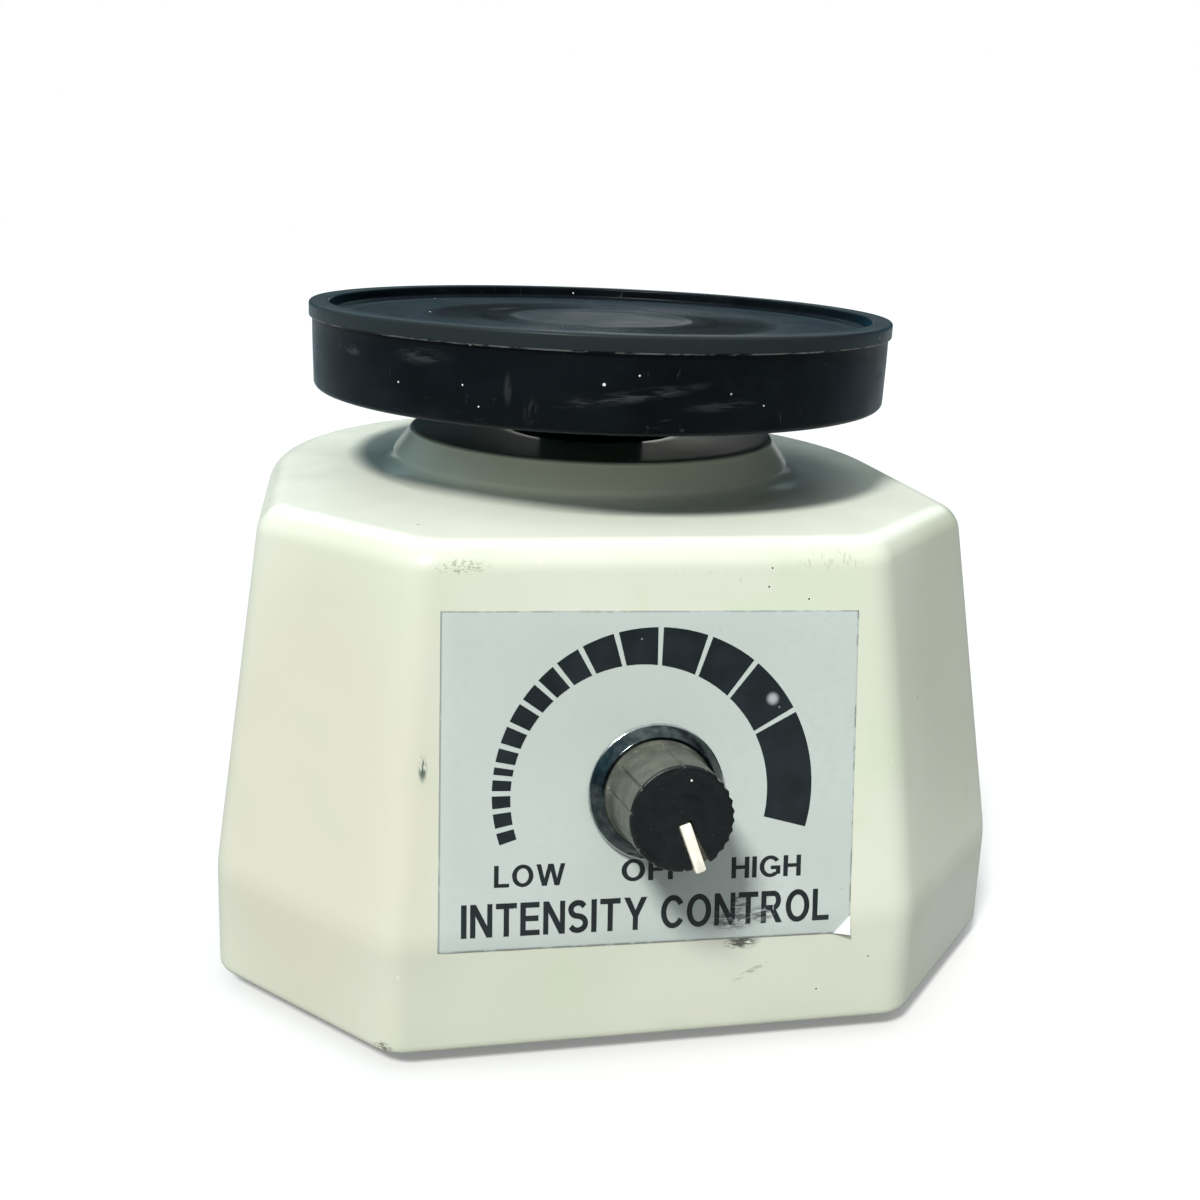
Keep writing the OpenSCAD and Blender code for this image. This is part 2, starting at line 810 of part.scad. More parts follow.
module pot_nut() {
  color("#c2c4c6") on_dial() translate([0, 0, washer_out]) hex_nut(nut_af, nut_t, bush_r);
}

lug = [2, 8, 0.5];
lug_low = -21;

module pot_terminals() {
  color("#c8a95a") on_dial() for (x = [-5, 0, 5])
    translate([x - lug[0] / 2, lug_low, -wall_n - pot_front_t - lug[2]]) cube(lug);
}

module switch_case() {
  color("#26282a") on_dial() translate([0, 0, pot_back - switch_h]) {
    cylinder(r = pot_r, h = switch_h);
    mirrored_x() translate([4, -2, -5]) cube([1, 4, 5]);
  }
}

// Electronics -------------------------------------------------------------

// On the circuit board's upper face
module on_board() {
  translate([0, dish_y + board_y, board_top]) children();
}

module at_board_holes() {
  for (x = [-1, 1], y = [-1, 1])
    translate([x * board_hole[0], board_y + y * board_hole[1], 0]) children();
}

module circuit_board() {
  color("#3f7a4a") on_axis() difference() {
    translate([0, board_y, board_low]) centred_box(board);
    at_board_holes() translate([0, 0, board_low - over])
      cylinder(r = m3 + bolt_clear, h = board[2] + 2 * over);
  }
}

module board_spacers() {
  color("#a9abad") on_axis() at_board_holes() translate([0, 0, base_top])
    ring(3, m3, spacer_h);
}

module board_screws() {
  color("#c2c4c6") on_axis() at_board_holes() translate([0, 0, board_top])
    pan_screw(m3, board[2] + 5);
}

module triac() {
  color("#26282a") on_board() translate([-11.25, -4, 3]) {
    centred_box([4.5, 10, 9]);
    for (y = [-2.54, 0, 2.54]) translate([0, y, -3]) centred_box([0.6, 0.8, 3]);
  }
}

module heat_sink() {
  color("#b9bcc0") on_board() translate([-15, -4, 0]) {
    centred_box([3, 20, 20]);
    for (y = [-8, -2.7, 2.7, 8]) translate([-3.5, y, 0]) centred_box([4, 1.6, 20]);
  }
}

module filter_capacitor() {
  color("#c79a2c") on_board() translate([17, -2, 0]) rounded_block(8, 16, 13, 1);
}

module choke_ring() {
  color("#a8502a") on_board() translate([1, -6, 3.5]) rotate_extrude()
    translate([6, 0]) circle(r = 3.5, $fn = 32);
}

module fuse_clips() {
  color("#c8a95a") on_board() translate([0, fuse_y, 0]) difference() {
    mirrored_x() translate([fuse_len / 2 - 2.5, 0, 0]) centred_box([4, 7, 6.5]);
    translate([-fuse_len, 0, fuse_h]) rotate([0, 90, 0]) cylinder(r = fuse_r, h = 2 * fuse_len);
  }
}

module glass_fuse() {
  color("#cfd8da") on_board() translate([-fuse_len / 2, fuse_y, fuse_h]) rotate([0, 90, 0])
    cylinder(r = fuse_r, h = fuse_len);
}

module terminal_block() {
  color("#e9e9e4") on_board() translate([-15, fuse_y, 0]) difference() {
    centred_box([7, 7, 7]);
    for (x = [-1.7, 1.7]) translate([x, 0, 4]) cylinder(r = 1.2, h = 4);
  }
}

module coil_leads() {
  start_z = bobbin_low + bobbin_h - 6;
  color("#d8cfa0") on_axis() mirrored_x() wire([
    [8, coil_y + lead_r + 0.1, start_z], [9, 22, start_z - 3], [coil_pad[0], 27, 24],
    [coil_pad[0], coil_pad[1], board_top + lead_r]
  ], lead_r);
}

// Three leads from the potentiometer, beside the magnet, to the circuit board
module pot_leads() {
  lug_end = [-66.8, 20.8]; // y and z just below the soldering lugs
  color("#b03a2e") on_axis() for (i = [0 : 2]) {
    x = lead_run_x - i * lead_pitch;
    y = board_pad_y + i * board_pad_pitch;
    wire([
      [5 - 5 * i, lug_end[0], lug_end[1]], [5 - 5 * i, -63, 13],
      [x, -45 - 3 * i, lead_run_z], [x, 20, lead_run_z], [x, 24, lead_over_z],
      [x, y, lead_over_z], [board_pad_x, y, board_top + lead_r]
    ], lead_r);
  }
}

module cable_grommet() {
  lip_in = -wall - gland_pad_in;
  color("#15171a") on_gland() rotate_extrude() polygon([
    [gland_bore_r, lip_in - gland_lip_t], [gland_lip_r, lip_in - gland_lip_t],
    [gland_lip_r, lip_in], [gland_hole_r, lip_in], [gland_hole_r, gland_pad_out],
    [gland_lip_r, gland_pad_out], [gland_lip_r - 1, gland_pad_out + gland_lip_t],
    [gland_bore_r, gland_pad_out + gland_lip_t]
  ]);
}

module earth_tag() {
  eye_r = 4;
  blade = [10, 3, earth_tag_t];
  color("#c8a95a") on_axis() translate([earth_place[0], earth_place[1], base_top])
    difference() {
      union() {
        cylinder(r = eye_r, h = earth_tag_t);
        translate([0, -blade[1] / 2, 0]) cube(blade);
      }
      translate([0, 0, -over]) cylinder(r = m4 + bolt_clear, h = earth_tag_t + 2 * over);
    }
}

module earth_screw() {
  color("#c2c4c6") on_axis()
    translate([earth_place[0], earth_place[1], base_top + earth_tag_t]) pan_screw(m4, plate_t + 2);
}

housing();
front_label();
dust_boot();
base_plate();
rubber_feet();
foot_screws();
core_laminations();
coil_bobbin();
coil_winding();
core_brackets();
core_bolts();
core_nuts();
bracket_screws();
spring_pillars();
pillar_screws();
leaf_spring_lower();
leaf_spring_upper();
spring_spacers();
spring_clamp_bars();
clamp_screws();
armature();
armature_plate();
armature_screws();
centre_stud();
centre_spacers();
stud_nuts();
platform_hub();
platform_plate();
hub_screws();
rubber_dish();
knob_body();
knob_skirt();
knob_pointer();
pot_shaft();
pot_rotor();
pot_case();
pot_bush();
pot_washer();
pot_nut();
pot_terminals();
switch_case();
circuit_board();
board_spacers();
board_screws();
triac();
heat_sink();
filter_capacitor();
choke_ring();
fuse_clips();
glass_fuse();
terminal_block();
coil_leads();
pot_leads();
cable_grommet();
earth_tag();
earth_screw();
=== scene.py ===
import json
import math

import bmesh
import bpy
from mathutils import Matrix, Vector, noise


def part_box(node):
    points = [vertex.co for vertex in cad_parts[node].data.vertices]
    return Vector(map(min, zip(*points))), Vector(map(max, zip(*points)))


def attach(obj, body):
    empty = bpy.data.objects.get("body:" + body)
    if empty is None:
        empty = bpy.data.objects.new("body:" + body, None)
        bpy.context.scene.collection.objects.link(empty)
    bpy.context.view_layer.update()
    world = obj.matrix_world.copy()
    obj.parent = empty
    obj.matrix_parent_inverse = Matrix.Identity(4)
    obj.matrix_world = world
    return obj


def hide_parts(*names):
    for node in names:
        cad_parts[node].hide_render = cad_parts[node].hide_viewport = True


# Looks of the small laboratory vibrator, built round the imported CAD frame.
# Shapes are made in millimetres in the frame's axes and scaled to metres as they are made.

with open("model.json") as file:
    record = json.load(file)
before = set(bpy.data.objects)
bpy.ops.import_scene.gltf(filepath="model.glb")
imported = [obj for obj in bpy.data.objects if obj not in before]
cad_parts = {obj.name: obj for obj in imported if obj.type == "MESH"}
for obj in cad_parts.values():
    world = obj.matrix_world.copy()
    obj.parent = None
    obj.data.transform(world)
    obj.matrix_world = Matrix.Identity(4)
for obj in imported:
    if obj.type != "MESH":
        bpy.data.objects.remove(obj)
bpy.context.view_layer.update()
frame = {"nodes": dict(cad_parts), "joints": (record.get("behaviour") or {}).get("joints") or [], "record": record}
NODES = frame["nodes"]
MM = 0.001


# ---- Places, from the frame ----

def box_mm(node):
    low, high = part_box(node)
    return low / MM, high / MM


DISH_LOW, DISH_HIGH = box_mm("rubber_dish")
AXIS_X = (DISH_LOW.x + DISH_HIGH.x) / 2
AXIS_Y = (DISH_LOW.y + DISH_HIGH.y) / 2
DISH_R = (DISH_HIGH.x - DISH_LOW.x) / 2
HOUSE_LOW, HOUSE_HIGH = box_mm("housing")
LIFT = HOUSE_LOW.z
KNOB_JOINT = next(j for j in frame["joints"] if j["name"] == "knob_turn")
DIAL_AT = Vector(KNOB_JOINT["pos_m"]) / MM
OUT = -Vector(KNOB_JOINT["axis"]).normalized()
SIDE = Vector((1, 0, 0))
UPHILL = OUT.cross(SIDE)
LEAN = math.asin(OUT.z)

# Local frames: +Z up the dish's axis, and +Z out of the dial
ON_AXIS = Matrix.Translation((AXIS_X, AXIS_Y, 0))
ON_DIAL = Matrix.Translation(DIAL_AT) @ Matrix((SIDE, UPHILL, OUT)).transposed().to_4x4()


# ---- Meshes ----

def oval(cx, cy, rx, ry, start, end, steps):
    """Points along an ellipse between two angles in degrees."""
    turns = [math.radians(start + (end - start) * i / steps) for i in range(steps + 1)]
    return [(cx + rx * math.cos(t), cy + ry * math.sin(t)) for t in turns]


def arc(cx, cy, radius, start, end, steps):
    return oval(cx, cy, radius, radius, start, end, steps)


def rounded(points, steps=4):
    """A closed profile from (x, y, corner radius) points, each corner rounded to its radius."""
    result = []
    count = len(points)
    for i, (x, y, radius) in enumerate(points):
        here = Vector((x, y))
        if radius <= 0:
            result.append((x, y))
            continue
        before = (Vector(points[i - 1][:2]) - here).normalized()
        after = (Vector(points[(i + 1) % count][:2]) - here).normalized()
        half = before.angle(after) / 2
        reach = radius / math.tan(half)
        centre = here + (before + after).normalized() * radius / math.sin(half)
        first = here + before * reach - centre
        last = here + after * reach - centre
        sweep = first.angle_signed(last)
        for k in range(steps + 1):
            spot = centre + Matrix.Rotation(-sweep * k / steps, 2) @ first
            result.append((spot.x, spot.y))
    return result


def loft(rings, wrap=False, fan_start=False, fan_end=False):
    """Vertices and faces of a skin over closed rings of equal length."""
    count = len(rings[0])
    verts = [tuple(p) for ring in rings for p in ring]
    faces = []
    for i in range(len(rings) if wrap else len(rings) - 1):
        a = i * count
        b = (i + 1) % len(rings) * count
        for j in range(count):
            k = (j + 1) % count
            faces.append((a + j, a + k, b + k, b + j))
    for wanted, ring_at in ((fan_start, 0), (fan_end, len(rings) - 1)):
        if wanted:
            ring = rings[ring_at]
            verts.append(tuple(sum(p[i] for p in ring) / count for i in range(3)))
            start = ring_at * count
            faces += [(start + j, start + (j + 1) % count, len(verts) - 1) for j in range(count)]
    return verts, faces


def circle_ring(radius, z, count, wobble=None):
    ring = []
    for j in range(count):
        turn = 2 * math.pi * j / count
        r = radius + (wobble(turn, z) if wobble else 0)
        ring.append((r * math.cos(turn), r * math.sin(turn), z))
    return ring


def revolve(profile, count=96, wobble=None):
    """A closed solid of revolution from (radius, height) points; ends on the axis are fanned."""
    on_axis = [i for i, (r, z) in enumerate(profile) if r < 1e-6]
    if not on_axis:
        return loft([circle_ring(r, z, count, wobble) for r, z in profile], wrap=True)
    first = on_axis[-1]
    turned = profile[first:] + profile[:first]
    rings = [circle_ring(r, z, count, wobble) for r, z in turned if r >= 1e-6]
    verts, faces = loft(rings)
    for pole, ring_at in ((turned[0], 0), (turned[-1], len(rings) - 1)):
        verts.append((0, 0, pole[1]))
        start = ring_at * count
        faces += [(start + j, start + (j + 1) % count, len(verts) - 1) for j in range(count)]
    return verts, faces


def prism(points, low, high):
    """A closed prism over a simple outline."""
    count = len(points)
    verts = [(x, y, low) for x, y in points] + [(x, y, high) for x, y in points]
    faces = [tuple(range(count)), tuple(range(count, 2 * count))]
    faces += [(i, (i + 1) % count, count + (i + 1) % count, count + i) for i in range(count)]
    return verts, faces


def together(*solids):
    """Several vertex and face lists as one."""
    verts, faces = [], []
    for more_verts, more_faces in solids:
        start = len(verts)
        verts += more_verts
        faces += [tuple(i + start for i in face) for face in more_faces]
    return verts, faces


def moved(solid, matrix):
    verts, faces = solid
    return [tuple(matrix @ Vector(v)) for v in verts], faces


def mesh_object(name, solid, place=Matrix.Identity(4), sharp=38):
    """An object in metres from a solid in millimetres; edges sharper than sharp degrees stay sharp."""
    mesh = bpy.data.meshes.new(name)
    mesh.from_pydata(solid[0], [], solid[1])
    mesh.transform(Matrix.Scale(MM, 4) @ place)
    shape = bmesh.new()
    shape.from_mesh(mesh)
    bmesh.ops.remove_doubles(shape, verts=shape.verts, dist=1e-7)
    bmesh.ops.recalc_face_normals(shape, faces=shape.faces)
    shape.to_mesh(mesh)
    shape.free()
    shade(mesh, sharp)
    thing = bpy.data.objects.new(name, mesh)
    bpy.context.scene.collection.objects.link(thing)
    return thing


def shade(mesh, sharp):
    mesh.polygons.foreach_set("use_smooth", [True] * len(mesh.polygons))
    mesh.set_sharp_from_angle(angle=math.radians(sharp))


def boolean(thing, cutter, operation, sharp=38):
    """Applies a boolean with cutter, which is then removed."""
    step = thing.modifiers.new("cut", "BOOLEAN")
    step.operation = operation
    step.solver = "EXACT"
    step.object = cutter
    apply_modifiers(thing)
    bpy.data.objects.remove(cutter)
    shade(thing.data, sharp)


def apply_modifiers(thing):
    graph = bpy.context.evaluated_depsgraph_get()
    mesh = bpy.data.meshes.new_from_object(thing.evaluated_get(graph))
    thing.modifiers.clear()
    thing.data = mesh


def drill(thing, radius, low, high, place, sharp):
    """Cuts a round hole along the Z axis of place, from low to high."""
    hole = revolve([(0, low), (radius, low), (radius, high), (0, high)], 48)
    boolean(thing, mesh_object("hole", hole, place), "DIFFERENCE", sharp)


def wear(thing, material):
    thing.data.materials.clear()
    thing.data.materials.append(material)


def finish_piece(thing, material, body, replaces=()):
    wear(thing, material)
    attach(thing, body)
    if replaces:
        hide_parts(*replaces)


# ---- Materials ----

class Graph:
    """A node tree, with one short method for each kind of node used here."""

    def __init__(self, tree):
        self.nodes = tree.nodes
        self.links = tree.links
        self.place = None

    def put(self, socket, value):
        """Links a socket, or sets it; a colour may be a hex code or three linear numbers."""
        if isinstance(value, bpy.types.NodeSocket):
            self.links.new(value, socket)
        else:
            socket.default_value = rgba(value) if socket.type == "RGBA" else value

    def made(self, kind, inputs=None, **settings):
        """A new node with its settings, then its inputs by name or number."""
        node = self.nodes.new("ShaderNode" + kind)
        for name, value in settings.items():
            setattr(node, name, value)
        for key, value in (inputs or {}).items():
            self.put(node.inputs[key], value)
        return node

    def vector(self, operation, a, b=(0, 0, 0)):
        node = self.made("VectorMath", {0: a, 1: b}, operation=operation)
        plain = operation in ("LENGTH", "DISTANCE", "DOT_PRODUCT")
        return node.outputs["Value" if plain else "Vector"]

    def math(self, operation, a, b=0.0):
        return self.made("Math", {0: a, 1: b}, operation=operation).outputs[0]

    def times(self, a, b):
        return self.math("MULTIPLY", a, b)

    def most(self, shares):
        """The largest of the shares."""
        total = shares[0]
        for share in shares[1:]:
            total = self.math("MAXIMUM", total, share)
        return total

    def noise(self, size, detail=3.0, rough=0.55, warp=0.0, stretch=None, shift=None):
        """Noise from 0 to 1, about size mm across; its axes may be scaled by stretch, or moved."""
        where = self.place
        if stretch:
            where = self.vector("MULTIPLY", where, stretch)
        if shift:
            where = self.vector("ADD", where, shift)
        inputs = {"Vector": where, "Scale": 1 / size, "Detail": detail, "Roughness": rough,
                  "Distortion": warp}
        return self.made("TexNoise", inputs).outputs[0]

    def cells(self, size):
        """Distance to the nearest of points about size mm apart, in cells."""
        return self.made("TexVoronoi", {"Vector": self.place, "Scale": 1 / size}).outputs["Distance"]

    def span(self, value, low, high, to_low=0.0, to_high=1.0):
        """Maps low..high to to_low..to_high, smoothly and clamped."""
        inputs = {"Value": value, "From Min": low, "From Max": high, "To Min": to_low,
                  "To Max": to_high}
        return self.made("MapRange", inputs, interpolation_type="SMOOTHSTEP").outputs["Result"]

    def below(self, value, low, high):
        """1 where value is under low, falling to 0 at high."""
        return self.span(value, low, high, 1.0, 0.0)

    def patches(self, size, detail, low, high):
        """Cloudy patches about size mm across: 0 where their noise is under low, 1 over high."""
        return self.span(self.noise(size, detail), low, high)

    def uneven(self, size, detail, least, most):
        """A value that drifts between least and most over about size mm."""
        return self.span(self.noise(size, detail), 0.3, 0.7, least, most)

    def mix(self, share, a, b):
        node = self.made("Mix", {"Factor": share}, data_type="RGBA")
        self.put(node.inputs["A"], a)
        self.put(node.inputs["B"], b)
        return next(s for s in node.outputs if s.type == "RGBA")

    def mottled(self, size, detail, dark, light):
        return self.mix(self.patches(size, detail, 0.3, 0.7), dark, light)

    def tint(self, colour, share, strength, other):
        """colour turned towards another one, by share times strength."""
        return self.mix(self.times(share, strength), colour, other)

    def spot(self, centre, radii, edge=0.5, turn=0.0):
        """1 inside an ellipsoid at centre, falling to 0 outside it; turn is degrees about Y."""
        away = self.vector("SUBTRACT", self.place, centre)
        if turn:
            inputs = {"Vector": away, "Angle": math.radians(turn)}
            away = self.made("VectorRotate", inputs, rotation_type="Y_AXIS").outputs[0]
        shrunk = self.vector("DIVIDE", away, radii)
        return self.below(self.vector("LENGTH", shrunk), 1 - edge, 1 + edge)

    def pinholes(self, places, radius):
        """1 in small round pits at places, 0 elsewhere."""
        return self.most([self.below(self.vector("DISTANCE", self.place, place),
                                     radius * 0.75, radius * 1.1) for place in places])

    def bump(self, height, depth, under=None):
        """Bump of depth mm from a height of 0 to 1, over another bump."""
        inputs = {"Distance": depth * MM, "Height": height}
        if under:
            inputs["Normal"] = under
        return self.made("Bump", inputs).outputs[0]


class Finish(Graph):
    """A material, its pattern laid out in mm in the object's own axes."""

    def __init__(self, name, metallic=0.0, specular=0.5, roughness=0.5):
        self.material = bpy.data.materials.new(name)
        self.material.use_nodes = True
        super().__init__(self.material.node_tree)
        self.shader = self.nodes["Principled BSDF"]
        self.fill({"Roughness": roughness, "Metallic": metallic, "Specular IOR Level": specular})
        place = self.made("TexCoord").outputs["Object"]
        scaled = self.made("VectorMath", {0: place, "Scale": 1 / MM}, operation="SCALE")
        self.place = scaled.outputs["Vector"]

    def fill(self, inputs):
        for name, value in inputs.items():
            self.put(self.shader.inputs[name], value)

    def done(self, colour, roughness=None, normal=None):
        wanted = {"Base Color": colour, "Roughness": roughness, "Normal": normal}
        self.fill({name: value for name, value in wanted.items() if value is not None})
        return self.material


def rgba(colour):
    """A linear colour with alpha, from a hex code or from three linear numbers."""
    if isinstance(colour, str):
        parts = [int(colour[i:i + 2], 16) / 255 for i in (0, 2, 4)]
        colour = [c / 12.92 if c <= 0.04045 else ((c + 0.055) / 1.055) ** 2.4 for c in parts]
    return (*colour, 1.0)


# ---- Camera, lights and floor ----

def add_camera():
    yaw = math.radians(11.36)
    pitch = math.radians(17.18)
    roll = math.radians(2.38)
    place = Vector((-45.92, -239.65, 130.09))
    ahead = Vector((math.sin(yaw) * math.cos(pitch), math.cos(yaw) * math.cos(pitch),
                    -math.sin(pitch)))
    level = Vector((math.cos(yaw), -math.sin(yaw), 0))
    upright = level.cross(ahead)
    right = level * math.cos(roll) + upright * math.sin(roll)
    top = upright * math.cos(roll) - level * math.sin(roll)
    data = bpy.data.cameras.new("camera")
    data.lens = 38.69
    data.sensor_width = 36
    data.clip_start = 0.01
    camera = bpy.data.objects.new("camera", data)
    facing = Matrix((right, top, -ahead)).transposed().to_4x4()
    camera.matrix_world = Matrix.Translation(place * MM) @ facing
    bpy.context.scene.collection.objects.link(camera)
    bpy.context.scene.camera = camera


def add_world():
    """A room lit from overhead and, more coolly, from the left; plain white to the camera."""
    world = bpy.data.worlds.new("studio")
    world.use_nodes = True
    bpy.context.scene.world = world
    g = Graph(world.node_tree)
    direction = g.made("TexCoord").outputs["Generated"]
    split = g.made("SeparateXYZ", {0: direction})
    back, up = split.outputs["Y"], split.outputs["Z"]
    band = g.times(g.span(up, 0.26, 0.42), g.below(up, 0.5, 0.8))
    colour = g.mix(g.span(up, 0.33, 0.95), (0.022, 0.038, 0.048), (1.04, 1.09, 1.08))
    colour = g.mix(g.times(g.span(back, 0.3, 0.8), band), colour, (0.95, 1.30, 1.42))
    leftward = g.below(g.vector("DISTANCE", direction, (-0.80, 0.42, 0.43)), 0.2, 0.9)
    colour = g.mix(leftward, colour, (0.32, 0.57, 0.68))
    glow = g.below(g.vector("DISTANCE", direction, (0.22, 0.97, 0.07)), 0.03, 0.14)
    around = g.nodes["Background"]
    g.put(around.inputs["Color"], g.mix(glow, colour, (1.1, 1.1, 1.05)))
    white = g.made("Background", {"Color": (1, 1, 1)})
    seen = g.made("LightPath").outputs["Is Camera Ray"]
    choose = g.made("MixShader", {"Fac": seen, 1: around.outputs[0], 2: white.outputs[0]})
    g.put(g.nodes["World Output"].inputs["Surface"], choose.outputs[0])


def add_floor():
    """A pale floor that throws back less light than a white one would."""
    f = Finish("floor_white", specular=0.15, roughness=0.75)
    seen = f.made("LightPath").outputs["Is Camera Ray"]
    f.fill({"Emission Color": (1, 1, 1), "Emission Strength": f.times(seen, 0.22)})
    pale = f.mottled(60, 2, (0.51, 0.51, 0.51), (0.53, 0.53, 0.53))
    material = f.done(f.mix(seen, (0.34, 0.34, 0.34), pale))
    floor = mesh_object("studio_floor", revolve([(0, -6), (4000, -6), (4000, 0), (0, 0)], 96))
    floor.data.materials.append(material)


def add_key():
    """A soft lamp far off, above and to the front left."""
    data = bpy.data.lights.new("key", "SUN")
    data.energy = 4.0
    data.angle = 0.2
    data.color = (1.0, 0.995, 0.965)
    light = bpy.data.objects.new("key", data)
    light.rotation_euler = Vector((0.36, 0.51, -0.765)).to_track_quat("-Z", "Y").to_euler()
    bpy.context.scene.collection.objects.link(light)


def add_studio():
    bpy.context.scene.view_settings.view_transform = "Standard"
    add_world()
    add_floor()
    add_key()


# ---- Housing ----

BODY_H = 78.0
PLINTH_H = 19.0
HALF_LOW = (HOUSE_HIGH.x - HOUSE_LOW.x) / 2
DRAFT = 0.35
HALF_KINK = HALF_LOW - DRAFT
HALF_TOP = 60.5
FRONT_LOW = AXIS_Y - HOUSE_LOW.y
FRONT_KINK = FRONT_LOW - DRAFT
FACE_SLOPE = math.tan(LEAN)
SIDE_SLOPE = (HALF_KINK - HALF_TOP) / (BODY_H - PLINTH_H)
PLINTH_SLOPE = DRAFT / PLINTH_H
CUT_LOW = 27.5
CUT_TOP = 24.3
BACK_SET = 5.0
CORNER_R = 7.0
EDGE_R = 4.0
WALL = 4.5
ROOF = 4.5
KINK_SOFT = 2.2
COLLAR_TOP = box_mm("dust_boot")[0].z
FLAT_TOP = LIFT + BODY_H
COLLAR_FOOT_R = 41.25
COLLAR_H = 7.2
DIAL_HOLE_R = 4.9
FOOT_PLACES = ((49, -43), (-49, -43), (37, 42), (-37, 42))

# +Z out of the rear cable entry
GLAND_LOW, GLAND_HIGH = box_mm("cable_grommet")
GLAND_AT = (AXIS_X, AXIS_Y + BACK_SET + HALF_LOW, (GLAND_LOW.z + GLAND_HIGH.z) / 2)
ON_GLAND = Matrix.Translation(GLAND_AT) @ Matrix.Rotation(-math.pi / 2, 4, "X")


def fall(h, slope):
    """How far a side is set back from its kink line at height h, softly bent at the kink."""
    above = h - PLINTH_H
    if above < -KINK_SOFT:
        return PLINTH_SLOPE * above
    if above > KINK_SOFT:
        return slope * above
    return PLINTH_SLOPE * above + (slope - PLINTH_SLOPE) * (above + KINK_SOFT) ** 2 / (4 * KINK_SOFT)


def front_at(h):
    return FRONT_KINK - fall(h, FACE_SLOPE)


def half_at(h):
    return HALF_KINK - fall(h, SIDE_SLOPE)


def cut_at(h):
    share = max(0.0, (h - PLINTH_H) / (BODY_H - PLINTH_H))
    return CUT_LOW + (CUT_TOP - CUT_LOW) * share


def line(a, b, steps):
    """Points from a up to, but without, b."""
    return [(a[0] + (b[0] - a[0]) * i / steps, a[1] + (b[1] - a[1]) * i / steps)
            for i in range(steps)]


def outline(h, inset=0.0):
    """Points round the casting at height h, moved in by inset, from the front's middle."""
    half = half_at(h) - inset
    front = front_at(h) - inset
    reach = half_at(h) - cut_at(h) + front_at(h) - inset * math.sqrt(2)
    tangent = CORNER_R * math.tan(math.radians(22.5))
    slant = tangent / math.sqrt(2)
    first = (reach - front, -front)
    second = (half, half - reach)
    right = line((0, -front), (first[0] - tangent, -front), 18)
    right += arc(first[0] - tangent, CORNER_R - front, CORNER_R, -90, -45, 8)[:-1]
    right += line((first[0] + slant, slant - front),
                  (second[0] - slant, second[1] - slant), 10)
    right += arc(half - CORNER_R, second[1] + tangent, CORNER_R, -45, 0, 8)[:-1]
    right += line((half, second[1] + tangent), (half, BACK_SET), 14)
    right += arc(0, BACK_SET, half, 0, 90, 30)
    left = [(-x, y) for x, y in reversed(right[1:-1])]
    return right + left


def at_height(points, z):
    return [(x, y, z) for x, y in points]


def collar_profile():
    """(radius, height) up the collar, over its top and into its hole."""
    fillet = arc(COLLAR_FOOT_R, 3.5, 3.5, 270, 188, 10)
    top_edge = arc(34.0, COLLAR_H - 1.0, 1.0, 8, 90, 6)
    flat = [(32.5, COLLAR_H), (25, COLLAR_H), (18.5, COLLAR_H)]
    return fillet + top_edge + flat + arc(16.5, COLLAR_H - 0.5, 0.5, 90, 180, 4)


def casting_rings():
    sections = [(0.0, WALL), (0.0, 1.6), (0.08, 0.75), (0.35, 0.28), (0.9, 0.03), (1.6, 0.0)]
    sides = [5, 9, 13, 15.5, 16.8, 17.4, 18, 18.5, 19, 19.5, 20, 20.6, 21.2, 22.5]
    sides += [25 + 5 * i for i in range(10)] + [72, 73.4]
    sections += [(h, 0.0) for h in sides]
    sections += [(BODY_H - EDGE_R + h, EDGE_R - x) for x, h in arc(0, 0, EDGE_R, 0, 90, 10)]
    rings = [at_height(outline(h, inset), LIFT + h) for h, inset in sections]
    edge = outline(BODY_H, EDGE_R)
    angles = [math.atan2(y, x) for x, y in edge]
    start_r = COLLAR_FOOT_R + 1.2
    for share in (0.03, 0.1, 0.25, 0.45, 0.65, 0.85, 1.0):
        ring = []
        for (x, y), turn in zip(edge, angles):
            to = (start_r * math.cos(turn), start_r * math.sin(turn))
            ring.append((x + (to[0] - x) * share, y + (to[1] - y) * share, FLAT_TOP))
        rings.append(ring)
    inside = [(16.0, 3.4), (28.0, 3.2), (28.0, -ROOF)]
    for radius, height in collar_profile() + inside:
        rings.append([(radius * math.cos(t), radius * math.sin(t), FLAT_TOP + height)
                      for t in angles])
    inner = [(73.5, 7.5), (73.0, 5.6), (71.5, 4.6), (69.0, WALL), (21, WALL), (17, WALL), (4, WALL)]
    return rings + [at_height(outline(h, inset), LIFT + h) for h, inset in inner]


def make_housing(material):
    housing = mesh_object("housing_casting", loft(casting_rings(), wrap=True), ON_AXIS, 50)
    pad = [(0, -5.5), (9.5, -5.5), (11.6, -1.5), (10.4, -0.6), (9.8, 0.2), (9.5, 0.6), (9.1, 0.9),
           (8.6, 1.0), (0, 1.0)]
    boolean(housing, mesh_object("pad", revolve(pad, 64), ON_GLAND), "UNION", 50)
    drill(housing, 5.5, -12, 6, ON_GLAND, 50)
    drill(housing, DIAL_HOLE_R, -8, 3, ON_DIAL, 50)
    finish_piece(housing, material, "casing", ["housing"])


def make_bosses(material):
    """The four screw bosses inside the casting, each tied to the wall by a rib."""
    tube = revolve([(2.0, 5.0), (4.6, 5.0), (5.0, 5.4), (5.0, 20.0), (2.0, 20.0)], 40)
    rib = prism([(4.8, -2.4), (8.0, -2.4), (8.0, 2.4), (4.8, 2.4)], 5.2, 19.8)
    parts = []
    for x, y in FOOT_PLACES:
        turn = Matrix.Rotation(math.atan2(y, x), 4, "Z")
        place = Matrix.Translation((x, y, LIFT)) @ turn
        parts += [moved(tube, place), moved(rib, place)]
    bosses = mesh_object("housing_bosses", together(*parts), ON_AXIS)
    finish_piece(bosses, material, "casing")


